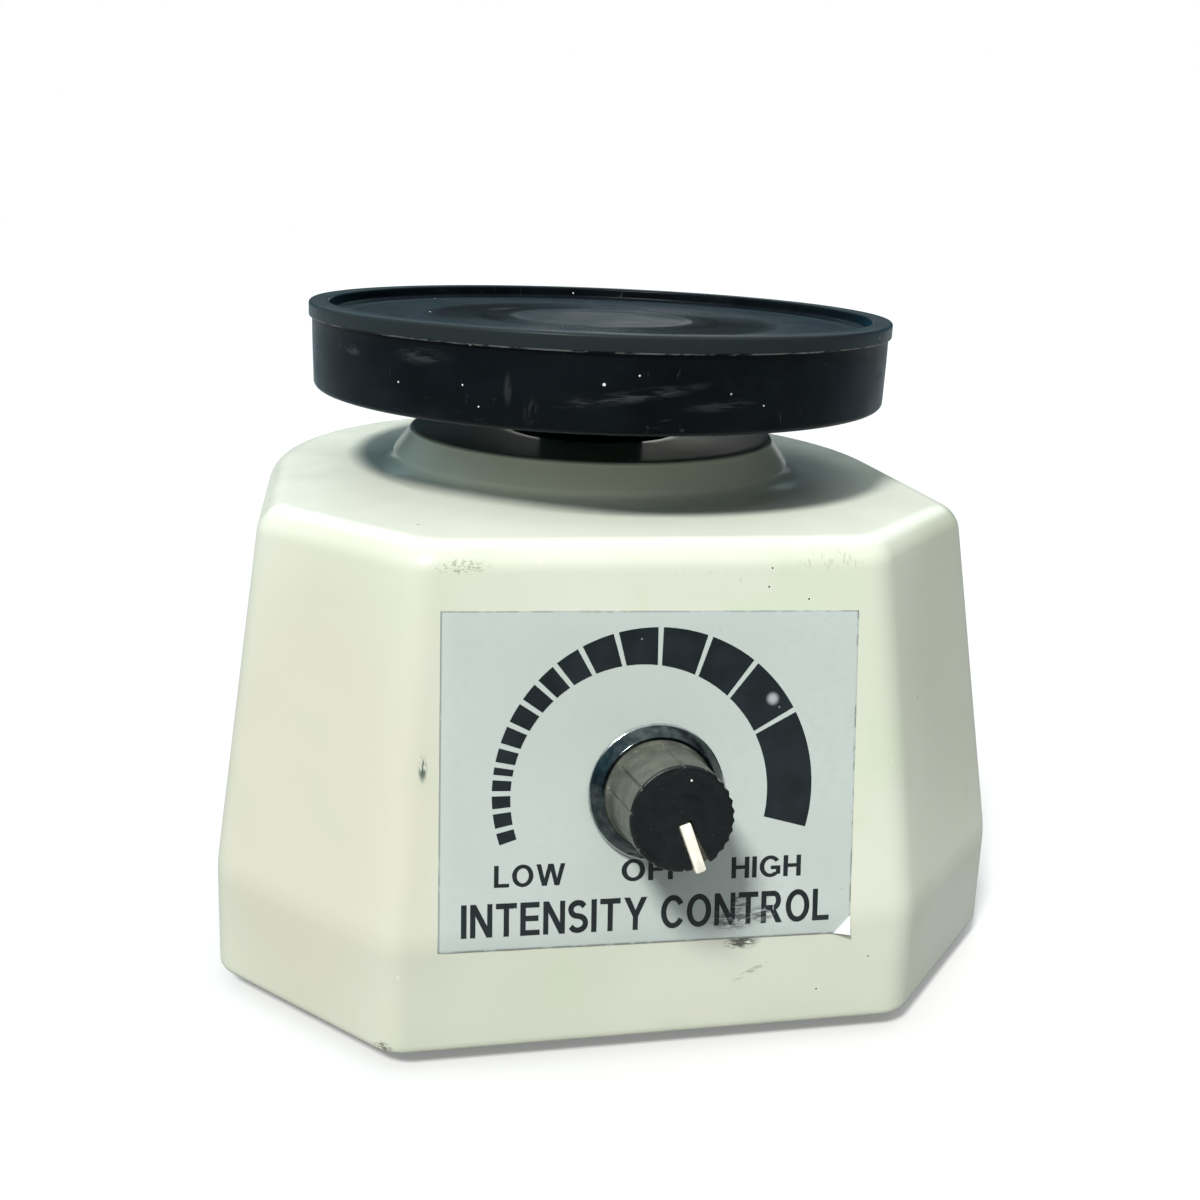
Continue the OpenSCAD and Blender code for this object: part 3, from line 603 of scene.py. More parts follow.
def enamel():
    f = Finish("enamel_cream", specular=0.35)
    f.fill({"Coat Weight": 0.06, "Coat Roughness": 0.06})
    cream = f.mix(f.patches(38, 2, 0.32, 0.68), "CBD0BF", "D1D3C5")
    cream = f.mix(f.span(f.noise(17, 2, shift=(90, 7, 3)), 0.5, 0.75), cream, "C8D0BC")
    # Painted shade: the two cut corners are painted darker, standing in for the weaker light that reaches them
    cream = f.tint(cream, f.spot((-54, -50, 38), (23, 28, 46)), 0.7, "BDB9A8")
    cream = f.tint(cream, f.spot((60, -30, 60), (22, 44, 34)), 0.7, "B2B6A4")
    # Painted light: the level top is painted paler, standing in for the stronger light falling on it
    height = f.vector("DOT_PRODUCT", f.place, (0, 0, 1))
    lit_top_paint = f.times(f.span(height, FLAT_TOP - 1.4, FLAT_TOP - 0.1),
                        f.below(height, FLAT_TOP + 0.3, FLAT_TOP + 1.8))
    cream = f.tint(cream, lit_top_paint, 0.85, "E6E9DC")
    # Pits in the enamel: a few plain ones, and a scatter of fine ones
    fine = f.times(f.below(f.cells(8.3), 0.025, 0.045), f.patches(14, 1, 0.53, 0.57))
    face_pits = ((18.5, 34.1), (18.0, 31.2), (24.5, 29.2), (-17.8, 35.5), (-14.9, 36.9),
                 (36.0, -29.5), (27.6, -34.9), (-39.6, -27.4), (39.0, 3.0))
    pits = [on_front(x, up) for x, up in face_pits]
    pits += [(-47.5, -44.6, 62.0), (-46.0, -45.4, 70.5), (-62.3, -36.0, 14.0), (-57.0, -37.5, 45.0)]
    pinhole = f.pinholes(pits, 0.17)
    ring = f.math("SUBTRACT", f.pinholes(pits, 0.38), pinhole)
    colour = f.tint(cream, ring, 0.35, "E6E8DC")
    colour = f.tint(colour, pinhole, 0.85, "33362F")
    colour = f.tint(colour, fine, 0.5, "7C8070")
    # Handling marks, each a patch broken up by streaks
    level = f.noise(0.9, 4, 0.7, 0.5, (0.5, 1.0, 1.8))
    fleck = f.noise(0.45, 4, 0.75, 0.0, (0.7, 1.0, 1.3))
    upright = f.noise(1.0, 3, 0.7, 0.3, (2.0, 1.0, 0.35))
    marks = [((-30.2, -56.3, 77.8), (3.6, 4.0, 0.9), fleck, 0.50, 0.55, "5A4A2E"),
             ((27.6, -56.3, 78.2), (5.0, 4.0, 1.3), upright, 0.55, 0.35, "77745F"),
             ((7.5, -56.9, 75.6), (6.5, 4.0, 2.6), upright, 0.62, 0.35, "6F7262"),
             ((-36.2, -62.4, 48.4), (0.55, 3.0, 1.7), upright, 0.40, 0.85, "25403D"),
             ((13.6, -68.7, 18.9), (2.4, 3.0, 1.0), level, 0.42, 0.88, "262725"),
             ((-42.6, -67.4, 4.2), (1.3, 2.5, 0.8), level, 0.45, 0.8, "4E4F40")]
    for centre, radii, streaks, threshold, strength, tone in marks:
        broken = f.span(streaks, threshold, threshold + 0.09)
        colour = f.tint(colour, f.times(f.spot(centre, radii), broken), strength, tone)
    graze = f.times(f.spot((15.3, -68.8, 13.4), (2.6, 3.0, 0.45), 0.5, 28.0),
                    f.span(level, 0.42, 0.55))
    colour = f.tint(colour, graze, 0.5, "7B7E74")
    rough = f.span(f.noise(11, 4), 0.3, 0.75, 0.18, 0.26)
    swell = f.bump(f.noise(24, 1.5, 0.4), 0.32)
    peel = f.bump(f.noise(2.4, 2, 0.5), 0.018, swell)
    hollow = f.math("SUBTRACT", 1.0, f.most([pinhole, fine]))
    return f.done(colour, rough, f.bump(hollow, 0.12, peel))


# ---- Label ----

KINK_DOWN = (DIAL_AT.z - LIFT - PLINTH_H) / math.cos(LEAN)
LABEL_CORNERS = ((-33.6, -23.6), (32.1, -24.8), (32.7, 27.3), (-32.6, 28.4))
LABEL_T = 0.22
PRINT_T = 0.025
PRINT_TURN = math.radians(-0.95)
DIAL_UP = 0.1
OUTER_R = 25.25
INNER_R = 20.2
FOLD_AT = (31.9, -21.9)
FOLD_OUT = (0.745, -0.667)


def on_front(x, up, out=0.0):
    """A point on the front face: x across, up along the face from the dial, out off the face."""
    if up > -KINK_DOWN:
        h = DIAL_AT.z - LIFT + up * math.cos(LEAN)
    else:
        h = PLINTH_H + up + KINK_DOWN
    step = 0.05
    slope = (front_at(h - step) - front_at(h + step)) / (2 * step)
    normal = Vector((0, -1, slope)).normalized()
    base = Vector((DIAL_AT.x + x, AXIS_Y - front_at(h), LIFT + h))
    return base + normal * out


def past_fold(x, up):
    """How far a point is beyond the fold across the label's lower right corner."""
    return (x - FOLD_AT[0]) * FOLD_OUT[0] + (up - FOLD_AT[1]) * FOLD_OUT[1]


def corner_lift(x, up):
    """How far the curled lower right corner of the label stands off the casting."""
    past = past_fold(x, up) + 0.3
    return 0.5 * past * past / (past + 0.8) if past > 0 else 0.0


def label_point(u, v):
    low = Vector(LABEL_CORNERS[0]).lerp(Vector(LABEL_CORNERS[1]), u)
    high = Vector(LABEL_CORNERS[3]).lerp(Vector(LABEL_CORNERS[2]), u)
    return low.lerp(high, v)


def finer_at(count, ends):
    """Shares from 0 to 1 with extra ones at ends."""
    return sorted(set([i / count for i in range(count + 1)] + ends))


def make_label(material):
    columns = finer_at(30, [0.005, 0.95, 0.958, 0.974, 0.982, 0.988, 0.994, 0.9975])
    rows = finer_at(26, [0.005, 0.01, 0.017, 0.024, 0.031, 0.045, 0.055, 0.066, 0.09])
    verts, faces = [], []
    for layer in (0.02, LABEL_T):
        for v in rows:
            for u in columns:
                spot = label_point(u, v)
                ragged = 0.06 * noise.noise(Vector((spot.x * 0.9, spot.y * 0.9, 3)))
                edge = 1.0 if u in (0, 1) or v in (0, 1) else 0.0
                drop = 0.07 if edge and layer > 0.1 else 0.0
                out = layer - drop + corner_lift(spot.x, spot.y)
                verts.append(tuple(on_front(spot.x + ragged * edge, spot.y + ragged * edge, out)))
    wide, tall = len(columns), len(rows)
    layer_size = wide * tall
    for j in range(tall - 1):
        for i in range(wide - 1):
            a = j * wide + i
            quad = (a, a + 1, a + 1 + wide, a + wide)
            faces.append(tuple(reversed(quad)))
            faces.append(tuple(n + layer_size for n in quad))
    rim = list(range(wide)) + [j * wide + wide - 1 for j in range(1, tall)]
    rim += [(tall - 1) * wide + i for i in range(wide - 2, -1, -1)]
    rim += [j * wide for j in range(tall - 2, 0, -1)]
    for a, b in zip(rim, rim[1:] + rim[:1]):
        faces.append((a, b, b + layer_size, a + layer_size))
    label = mesh_object("front_label_sheet", (verts, faces), sharp=60)
    drill(label, DIAL_HOLE_R, -3, 3, ON_DIAL, 60)
    finish_piece(label, material, "casing", ["front_label"])


def laid_on_front(solid, low, high):
    """Bends a flat slab in dial coordinates, z from 0 to 1, onto the face, cut where the face turns."""
    shape = bmesh.new()
    corners = [shape.verts.new(v) for v in solid[0]]
    for face in solid[1]:
        shape.faces.new([corners[i] for i in face])
    for step in range(-1, 5):
        level = KINK_SOFT * step * 0.25 - KINK_DOWN
        everything = shape.verts[:] + shape.edges[:] + shape.faces[:]
        bmesh.ops.bisect_plane(shape, geom=everything, dist=1e-5,
                               plane_co=(0, level, 0), plane_no=(0, 1, 0))
    shape.verts.index_update()
    verts = [tuple(on_front(v.co.x, v.co.y, low + (high - low) * v.co.z)) for v in shape.verts]
    faces = [tuple(v.index for v in face.verts) for face in shape.faces]
    shape.free()
    return verts, faces


def on_inner_arc(turn):
    """Where the dial's ray at turn degrees clockwise from the top meets the inner arc."""
    ray = Vector((math.sin(math.radians(turn)), math.cos(math.radians(turn))))
    to_centre = Vector((-2.25, -0.6))
    along = to_centre.dot(ray)
    reach = along + math.sqrt(INNER_R ** 2 - (to_centre.length_squared - along * along))
    return ray.x * reach, DIAL_UP + ray.y * reach


def dial_blocks():
    """Blocks that grow clockwise, between an outer arc and an inner arc set a little to the left."""
    widths = (4.2, 5, 4.4, 3.8, 2.6, 4.8, 6, 6.9, 6.4, 6.7, 8.6, 11.6, 14.1, 16.3, 17.3, 20.9, 42.9)
    gap = 1.9
    turn = -107.0
    blocks = []
    for width in widths:
        steps = max(2, round(width / 1.5))
        outer = arc(0, DIAL_UP, OUTER_R, 90 - turn, 90 - turn - width, steps)
        inner = [on_inner_arc(turn + width * (1 - i / steps)) for i in range(steps + 1)]
        blocks.append(prism(outer + inner, 0, 1))
        turn += width + gap
    return together(*blocks)


# Letters: each is a width and some outlines, for a cap height of 1

STEM = 0.205
BAR = 0.165


def bend(cx, cy, rx, ry, start, end, wide, tall, steps=14):
    """A curved stroke between an outer ellipse and an inner one, angles in degrees."""
    outer = oval(cx, cy, rx, ry, start, end, steps)
    inner = oval(cx, cy, rx - wide, ry - tall, start, end, steps)
    return outer + inner[::-1]


def block(x0, y0, x1, y1):
    return [(x0, y0), (x1, y0), (x1, y1), (x0, y1)]


def letter_n():
    low = [(0, 0), (STEM - 0.01, 0), (STEM - 0.01, 0.66), (0.61, 0), (0.82, 0), (0.82, 1)]
    return low + [(0.63, 1), (0.63, 0.35), (0.21, 1), (0, 1)]


def letter_w():
    up = [(0.0, 1), (0.26, 0), (0.48, 0), (0.655, 0.68), (0.83, 0), (1.05, 0), (1.31, 1), (1.10, 1)]
    return up + [(0.94, 0.33), (0.78, 1), (0.53, 1), (0.37, 0.33), (0.21, 1)]


def letter_s():
    """Both bowls of an S as one stroke along a spine, thinner where it runs level."""
    spine = oval(0.36, 0.715, 0.27, 0.2, 25, 270, 14)
    spine += oval(0.36, 0.295, 0.29, 0.215, 90, -155, 14)[1:]
    left, right = [], []
    for i, here in enumerate(spine):
        before = Vector(spine[max(i - 1, 0)])
        after = Vector(spine[min(i + 1, len(spine) - 1)])
        along = (after - before).normalized()
        half = 0.5 * (BAR + (STEM - BAR) * abs(along.y))
        left.append((here[0] - along.y * half, here[1] + along.x * half))
        right.append((here[0] + along.y * half, here[1] - along.x * half))
    return left + right[::-1]


LETTERS = {
    "I": (STEM, [block(0, 0, STEM, 1)]),
    "L": (0.68, [[(0, 0), (0.68, 0), (0.68, BAR), (STEM, BAR), (STEM, 1), (0, 1)]]),
    "T": (0.78, [[(0.29, 0), (0.49, 0), (0.49, 0.835), (0.78, 0.835), (0.78, 1), (0, 1), (0, 0.835),
                  (0.29, 0.835)]]),
    "H": (0.79, [[(0, 0), (STEM, 0), (STEM, 0.43), (0.585, 0.43), (0.585, 0), (0.79, 0), (0.79, 1),
                  (0.585, 1), (0.585, 0.6), (STEM, 0.6), (STEM, 1), (0, 1)]]),
    "E": (0.73, [[(0, 0), (0.73, 0), (0.73, BAR), (STEM, BAR), (STEM, 0.43), (0.68, 0.43),
                  (0.68, 0.595), (STEM, 0.595), (STEM, 0.835), (0.715, 0.835), (0.715, 1), (0, 1)]]),
    "F": (0.68, [[(0, 0), (STEM, 0), (STEM, 0.42), (0.61, 0.42), (0.61, 0.585), (STEM, 0.585),
                  (STEM, 0.835), (0.68, 0.835), (0.68, 1), (0, 1)]]),
    "Y": (0.90, [[(0.35, 0), (0.55, 0), (0.55, 0.41), (0.90, 1), (0.665, 1), (0.45, 0.61),
                  (0.235, 1), (0, 1), (0.35, 0.41)]]),
    "N": (0.82, [letter_n()]),
    "W": (1.31, [letter_w()]),
    "O": (0.96, [bend(0.48, 0.5, 0.48, 0.515, 90, 270, 0.21, 0.17),
                 bend(0.48, 0.5, 0.48, 0.515, -90, 90, 0.21, 0.17)]),
    "C": (0.88, [bend(0.47, 0.5, 0.47, 0.515, 32, 328, 0.21, 0.17, 26)]),
    "G": (0.94, [bend(0.48, 0.5, 0.48, 0.515, 36, 312, 0.21, 0.17, 26),
                 [(0.50, 0.36), (0.50, 0.53), (0.935, 0.53), (0.935, 0.14), (0.80, 0.115),
                  (0.665, 0.20), (0.735, 0.235), (0.735, 0.36)]]),
    "R": (0.86, [block(0, 0, STEM, 1), block(STEM, 0.395, 0.47, 0.56), block(STEM, 0.835, 0.50, 1),
                 bend(0.50, 0.6975, 0.29, 0.3025, -90, 90, 0.205, 0.165, 16),
                 [(0.36, 0.396), (0.61, 0.0), (0.86, 0.0), (0.60, 0.404), (0.50, 0.396)]]),
    "S": (0.74, [letter_s()]),
    " ": (0.28, []),
}
TRACKING = 0.13


def lettering(words, centre, height, width, turn):
    """Bold capitals on the label, of a cap height and a total width, as thin closed slabs."""
    total = sum(LETTERS[c][0] + TRACKING for c in words) - TRACKING
    squeeze = width / total
    spin = Matrix.Rotation(turn, 2)
    slabs = []
    pen = 0.0
    for c in words:
        advance, outlines = LETTERS[c]
        for points in outlines:
            placed = [spin @ Vector(((pen + x) * squeeze - width / 2, (y - 0.5) * height))
                      for x, y in points]
            points = [(centre[0] + p.x, centre[1] + p.y) for p in placed]
            slabs.append(prism(points, 0, 1))
        pen += advance + TRACKING
    return together(*slabs)


def make_print(material):
    solid = together(
        dial_blocks(),
        lettering("LOW", (-19.55, -12.2), 3.4, 10.9, PRINT_TURN),
        lettering("OFF", (-0.3, -12.35), 3.4, 10.0, PRINT_TURN),
        lettering("HIGH", (18.0, -12.95), 3.4, 11.4, PRINT_TURN),
        lettering("INTENSITY CONTROL", (-0.75, -19.25), 5.2, 58.6, math.radians(-0.85)),
    )
    solid = laid_on_front(solid, LABEL_T - 0.01, LABEL_T + PRINT_T)
    printed = mesh_object("front_label_print", solid, sharp=20)
    finish_piece(printed, material, "casing")


def rubbed_patch(f):
    """Where the label's lower right is smudged, 0 to 1, and the streaks that break it up."""
    streaks = f.noise(1.0, 4, 0.7, 0.9, (0.5, 0.6, 1.5))
    smudges = ((12.6, -21.2, (3.0, 3.0, 1.5)), (13.6, -18.6, (1.2, 3.0, 1.2)),
               (17.2, -20.6, (1.8, 3.0, 1.2)))
    return f.most([f.spot(on_front(x, up), radii) for x, up, radii in smudges]), streaks


def from_dial(f, direction, start=0.0):
    """How far a place lies along direction from the dial's middle, plus start."""
    away = f.vector("SUBTRACT", f.place, DIAL_AT)
    return f.math("ADD", f.vector("DOT_PRODUCT", away, direction), start)


def label_film():
    f = Finish("label_film", specular=0.45)
    grey = f.mottled(26, 2, "B2BCB6", "B9C1BE")
    grey = f.mix(f.patches(1.3, 2, 0.35, 0.75), grey, "B5BDB9")
    rubbed, streaks = rubbed_patch(f)
    dirt = f.times(rubbed, f.span(streaks, 0.46, 0.52))
    colour = f.tint(grey, dirt, 0.75, "2A2E30")
    specks = f.times(f.below(f.cells(5.3), 0.02, 0.035), f.patches(12, 1, 0.5, 0.55))
    colour = f.tint(colour, specks, 0.5, "7B8284")
    # Darker along the lower and right edges
    edge_noise = f.noise(2.2, 3)
    foot = f.times(f.below(from_dial(f, UPHILL + SIDE * 0.0183, 24.215), 0.12, 0.38),
                   f.span(edge_noise, 0.3, 0.5))
    right = f.times(f.below(from_dial(f, UPHILL * 0.0115 - SIDE, 32.4), 0.1, 0.4),
                    f.span(edge_noise, 0.5, 0.56))
    colour = f.tint(colour, f.most([foot, right]), 0.6, "50544F")
    # A thin dark line shows down the left edge, and a fainter one along the top
    left = f.times(f.below(from_dial(f, SIDE - UPHILL * 0.0192, 33.15), 0.16, 0.36),
                   f.span(edge_noise, 0.25, 0.45, 0.4, 1.0))
    top = f.times(f.below(from_dial(f, -UPHILL - SIDE * 0.0168, 27.85), 0.14, 0.32),
                  f.span(edge_noise, 0.4, 0.55, 0.15, 0.7))
    colour = f.tint(colour, f.most([left, top]), 0.6, "5A605C")
    # The curled corner shows the film's bare white
    fold = from_dial(f, SIDE * FOLD_OUT[0] + UPHILL * FOLD_OUT[1], past_fold(0, 0))
    colour = f.tint(colour, f.span(fold, 0.0, 0.18), 0.95, "F2F3F0")
    ripple = f.bump(f.noise(9, 2), 0.05)
    return f.done(colour, f.uneven(7, 3, 0.30, 0.40), f.bump(f.noise(0.35, 2), 0.006, ripple))


def ink():
    f = Finish("label_ink", specular=0.4)
    rubbed, streaks = rubbed_patch(f)
    worn = f.times(rubbed, f.below(streaks, 0.36, 0.48))
    colour = f.tint(f.mottled(5, 3, "151B1E", "1C2327"), worn, 0.75, "9DA5A6")
    flecks = [on_front(-2.2, 23.6), on_front(19.8, 12.4), on_front(-21.9, -17.2)]
    colour = f.tint(colour, f.pinholes(flecks, 0.3), 0.7, "9AA2A4")
    # Painted highlight: a pale soft spot in the ink, standing in for a small glare on the print
    smear_and_glare = f.spot(on_front(18.7, 13.8), (0.8, 1.5, 0.8), 0.6)
    colour = f.tint(colour, smear_and_glare, 0.75, "B9BFC0")
    return f.done(colour, f.uneven(4, 2, 0.28, 0.38), f.bump(f.noise(0.4, 2), 0.005))


# ---- Rubber dish ----

FLOOR_Z = DISH_HIGH.z - 2.2
TABLE_LOW, TABLE_HIGH = box_mm("platform_plate")
TABLE_R = (TABLE_HIGH.x - TABLE_LOW.x) / 2
BAND_LOW = DISH_HIGH.z - 2.7
CAP_SHIFT = 1.1


def dish_profile():
    """(radius, height) round the dish's section: rim band over the wall, hooked under the table."""
    top = DISH_HIGH.z
    low = DISH_LOW.z - 0.45
    wall_r = DISH_R - 0.55
    hook = [(44, low + 0.5), (44.4, low + 0.1), (45, low)]
    heel = arc(wall_r - 1.1, low + 1.1, 1.1, 270, 360, 7)
    wall = [(wall_r + 0.02, low + 5), (wall_r + 0.03, low + 8), (wall_r, low + 10.6),
            (wall_r - 0.02, BAND_LOW - 0.25), (wall_r + 0.03, BAND_LOW - 0.1)]
    band = [(DISH_R - 0.12, BAND_LOW), (DISH_R - 0.03, BAND_LOW + 0.08), (DISH_R, BAND_LOW + 0.3),
            (DISH_R - 0.02, top - 1.2)]
    rim_out = arc(DISH_R - 0.62, top - 0.6, 0.6, 0, 90, 5)
    rim_in = arc(50.9, top - 0.55, 0.55, 90, 180, 5)
    floor = [(50.3, FLOOR_Z + 1.1)] + arc(49.7, FLOOR_Z + 0.65, 0.6, 360, 270, 4)
    floor += [(48.6, FLOOR_Z), (46.9, FLOOR_Z), (46.5, FLOOR_Z - 0.12), (46.1, FLOOR_Z - 0.12),
              (45.7, FLOOR_Z)]
    flat = [(r, FLOOR_Z) for r in (44, 42, 40, 38, 36, 35)]
    ribs = [(r, FLOOR_Z) for r in (34.2, 33, 31, 29, 27, 25, 23, 21, 19, 17.5, 16.8)]
    step = [(16.2, FLOOR_Z), (15.8, FLOOR_Z - 0.14), (15.2, FLOOR_Z - 0.15), (12, FLOOR_Z - 0.15),
            (7, FLOOR_Z - 0.15), (3, FLOOR_Z - 0.15), (0, FLOOR_Z - 0.15)]
    under = [(0, TABLE_HIGH.z + 0.02), (TABLE_R + 0.05, TABLE_HIGH.z + 0.02),
             (TABLE_R + 0.05, TABLE_LOW.z - 0.02), (44.4, TABLE_LOW.z - 0.02),
             (44, TABLE_LOW.z - 0.4)]
    return hook + heel + wall + band + rim_out + rim_in + floor + flat + ribs + step + under


def make_dish(material):
    """The rubber cap, sitting a little to the right on the table; its hidden pocket stays round it."""
    def wobble(turn, z):
        return 0.05 * noise.noise(Vector((math.cos(turn) * 4, math.sin(turn) * 4, z * 0.05))) - 0.05
    verts, faces = revolve(dish_profile(), 256, wobble)
    shifted = []
    for x, y, z in verts:
        in_pocket = TABLE_LOW.z - 0.5 < z < TABLE_HIGH.z + 0.5 and math.hypot(x, y) < TABLE_R + 1
        shifted.append((x if in_pocket else x + CAP_SHIFT, y, z))
    dish = mesh_object("rubber_dish_cap", (shifted, faces), ON_AXIS, 50)
    finish_piece(dish, material, "table", ["rubber_dish"])


def make_dish_ribs(material):
    """Short slanted grip ribs moulded in the dish's floor between two circles."""
    count, steps = 150, 6
    inner_r, outer_r = 17.2, 33.2
    section = [(-0.22, -0.12), (-0.09, 0.06), (0.09, 0.06), (0.22, -0.12)]
    ribs = []
    for i in range(count):
        rings = []
        for k in range(steps + 1):
            radius = inner_r + (outer_r - inner_r) * k / steps
            lean = 2 * math.pi * i / count + 0.30 * (k / steps)
            width = 0.55 + 0.45 * radius / 33
            fade = 0.35 if k in (0, steps) else 1.0
            ring = []
            for x, z in section:
                ring.append((radius * math.cos(lean) - x * width * math.sin(lean),
                             radius * math.sin(lean) + x * width * math.cos(lean),
                             FLOOR_Z + (z * fade if z > 0 else z)))
            rings.append(ring)
        verts, faces = loft(rings)
        last = len(verts)
        faces += [(0, 1, 2, 3), (last - 1, last - 2, last - 3, last - 4)]
        ribs.append((verts, faces))
    shifted = moved(together(*ribs), Matrix.Translation((CAP_SHIFT, 0, 0)))
    thing = mesh_object("rubber_dish_ribs", shifted, ON_AXIS, 60)
    finish_piece(thing, material, "table")


def on_wall(turn, z):
    """A point on the dish's wall, turn degrees round to the right from its front."""
    reach = DISH_R - 0.5
    return (AXIS_X + CAP_SHIFT + reach * math.sin(math.radians(turn)),
            AXIS_Y - reach * math.cos(math.radians(turn)), z)


def dish_rubber():
    f = Finish("dish_rubber", specular=0.06)
    f.fill({"Sheen Weight": 0.12, "Sheen Roughness": 0.35, "Sheen Tint": (0.02, 0.28, 0.50)})
    black = f.mottled(9, 4, "070B0F", "0D1216")
    height = f.vector("DOT_PRODUCT", f.place, (0, 0, 1))
    level_place = f.vector("MULTIPLY", f.place, (1, 1, 0))
    axis_out = f.vector("DISTANCE", level_place, (AXIS_X + CAP_SHIFT, AXIS_Y, 0))
    # Partly painted highlight: the rim band is painted a lighter grey, for scuffing and for the sheen along its
    # glossy edge
    on_rim = f.times(f.span(axis_out, DISH_R - 3.4, DISH_R - 3.0),
                     f.span(height, BAND_LOW, BAND_LOW + 0.3))
    black = f.tint(black, on_rim, 0.8, "2A3032")
    # Dust in broad faint clouds
    cloud = f.noise(7, 5, 0.65, 0.0, (0.5, 0.5, 1.4))
    dusty = f.times(f.span(cloud, 0.5, 0.75), f.patches(24, 2, 0.4, 0.62))
    colour = f.tint(black, dusty, 0.2, "33383A")
    # Rubbed scuffs: short upright ones and a few long low ones
    upright = f.noise(1.5, 3, 0.6, 0.8, (1.6, 1.6, 0.3))
    level = f.noise(1.6, 4, 0.65, 0.5, (0.3, 0.3, 2.2))
    region = f.span(f.noise(12, 2, shift=(5, 50, 9)), 0.48, 0.6)
    either = f.most([f.span(upright, 0.64, 0.74), f.span(level, 0.66, 0.75)])
    scuffs = f.times(either, region)
    colour = f.tint(colour, scuffs, 0.45, "5C605F")
    wipes = [((-5.0, 102.0), (9, 6, 0.8), 9.0, level, 0.24),
             ((10.0, 100.6), (5, 6, 0.7), 4.0, level, 0.14),
             ((-42.4, 106.0), (4.2, 4.2, 1.1), 0.0, level, 0.17),
             ((-60.2, 105.2), (1.6, 2, 0.7), 0.0, level, 0.24),
             ((-25.8, 102.2), (0.5, 2, 2.0), 0.0, upright, 0.14),
             ((-21.8, 98.9), (0.9, 2, 1.6), 0.0, upright, 0.14)]
    for at, radii, turn, streaks, strength in wipes:
        smear_and_glare = f.times(f.spot(on_wall(*at), radii, 0.6, turn), f.span(streaks, 0.42, 0.6))
        colour = f.tint(colour, smear_and_glare, strength, "666A6B")
    # White specks of dry plaster
    specks = f.times(f.below(f.cells(5.6), 0.028, 0.042),
                     f.span(f.noise(9, 1, shift=(0, 33, 0)), 0.49, 0.54))
    colour = f.mix(specks, colour, "D8DAD6")
    wall_crumbs = ((-47.4, 101.4), (-34.0, 102.2), (-31.0, 99.1), (18.2, 100.5), (-4.3, 105.2))
    crumbs = [on_wall(turn, z) for turn, z in wall_crumbs]
    crumbs += [(54.6, 8.0, 110.3), (-25.5, 40.0, 109.0), (5.8, 42.5, 109.0)]
    flakes = [on_wall(-10.0, 103.7), on_wall(-32.6, BAND_LOW)]
    chips = f.most([f.pinholes(crumbs, 0.17), f.pinholes(flakes, 0.26)])
    colour = f.mix(chips, colour, "E4E6E2")
    # The parting line under the rim is scuffed pale where it catches
    off_line = f.math("ABSOLUTE", f.math("SUBTRACT", height, BAND_LOW))
    catch = f.span(f.noise(5, 3, 0.7), 0.44, 0.6)
    colour = f.tint(colour, f.times(f.below(off_line, 0.08, 0.2), catch), 0.75, "8E918E")
    worn = f.times(f.most([dusty, scuffs]), 0.2)
    rough = f.math("ADD", f.uneven(8, 4, 0.29, 0.37), worn)
    return f.done(colour, rough, f.bump(f.noise(0.5, 3), 0.015, f.bump(f.noise(6, 2), 0.04)))


# ---- Knob ----

KNOB_LOW, KNOB_TOP = 0.8, 17.25
SHOULDER = 3.4
POINTER_TURN = 161.0
GROOVES = ((-123, 2.2, 0.32), (-108, 1.4, 0.16), (-81, 2.2, 0.32), (-52, 2.2, 0.34), (0, 2.2, 0.34),
           (26, 1.4, 0.2), (178, 2.2, 0.3), (192, 2.0, 0.3), (214, 2.0, 0.3))
SCALLOPS = (40.0, 140.0, 11.0, 0.34)
KNOB_STEPS = 540


def grip_depth(clockwise):
    """How deep the knob's side is cut at an angle clockwise from the top, in mm."""
    depth = 0.0
    for middle, half_width, deep in GROOVES:
        off = abs((clockwise - middle + 180) % 360 - 180) / half_width
        if off < 1:
            depth = max(depth, deep * (1 - off * off) ** 2)
    start, end, pitch, deep = SCALLOPS
    within = clockwise % 360
    if start < within < end:
        wave = 0.5 - 0.5 * math.cos(2 * math.pi * (within - start) / pitch)
        depth = max(depth, deep * wave ** 0.7)
    return depth


def knob_rings():
    root_r, face_r = 8.1, 7.7
    flat_z = KNOB_TOP - 0.08
    profile = [(7.9, KNOB_LOW, 0), (8.55, KNOB_LOW + 0.05, 0), (8.55, SHOULDER, 0),
               (8.3, SHOULDER + 0.35, 0), (8.12, SHOULDER + 0.8, 0.0)]
    levels = [SHOULDER + 1.3, SHOULDER + 1.9, 7, 9, 11, 13, 15, 16, 16.5, KNOB_TOP - 0.42]
    for z in levels:
        share = (z - SHOULDER) / (KNOB_TOP - SHOULDER)
        full = min(1.0, (z - SHOULDER - 0.8) / 1.0)
        profile.append((root_r + (face_r - root_r) * share, z, full))
    top = [(face_r - 0.05, KNOB_TOP - 0.22, 0.8), (face_r - 0.2, KNOB_TOP - 0.07, 0.45),
           (face_r - 0.42, KNOB_TOP - 0.01, 0.1), (face_r - 0.7, KNOB_TOP - 0.02, 0),
           (face_r - 0.9, KNOB_TOP - 0.04, 0), (face_r - 1.3, flat_z, 0)]
    top += [(r, flat_z, 0) for r in (5.6, 4.6, 3.95)]
    top += [(3.87, KNOB_TOP - 0.09, 0), (3.8, KNOB_TOP - 0.09, 0)]
    top += [(r, flat_z, 0) for r in (3.72, 2.4, 1.2)]
    rings = []
    for radius, z, grip in profile + top:
        ring = []
        for j in range(KNOB_STEPS):
            clockwise = 360.0 * j / KNOB_STEPS
            r = radius - grip * grip_depth(clockwise)
            turn = math.radians(90 - clockwise)
            ring.append((r * math.cos(turn), r * math.sin(turn), z))
        rings.append(ring)
    return rings


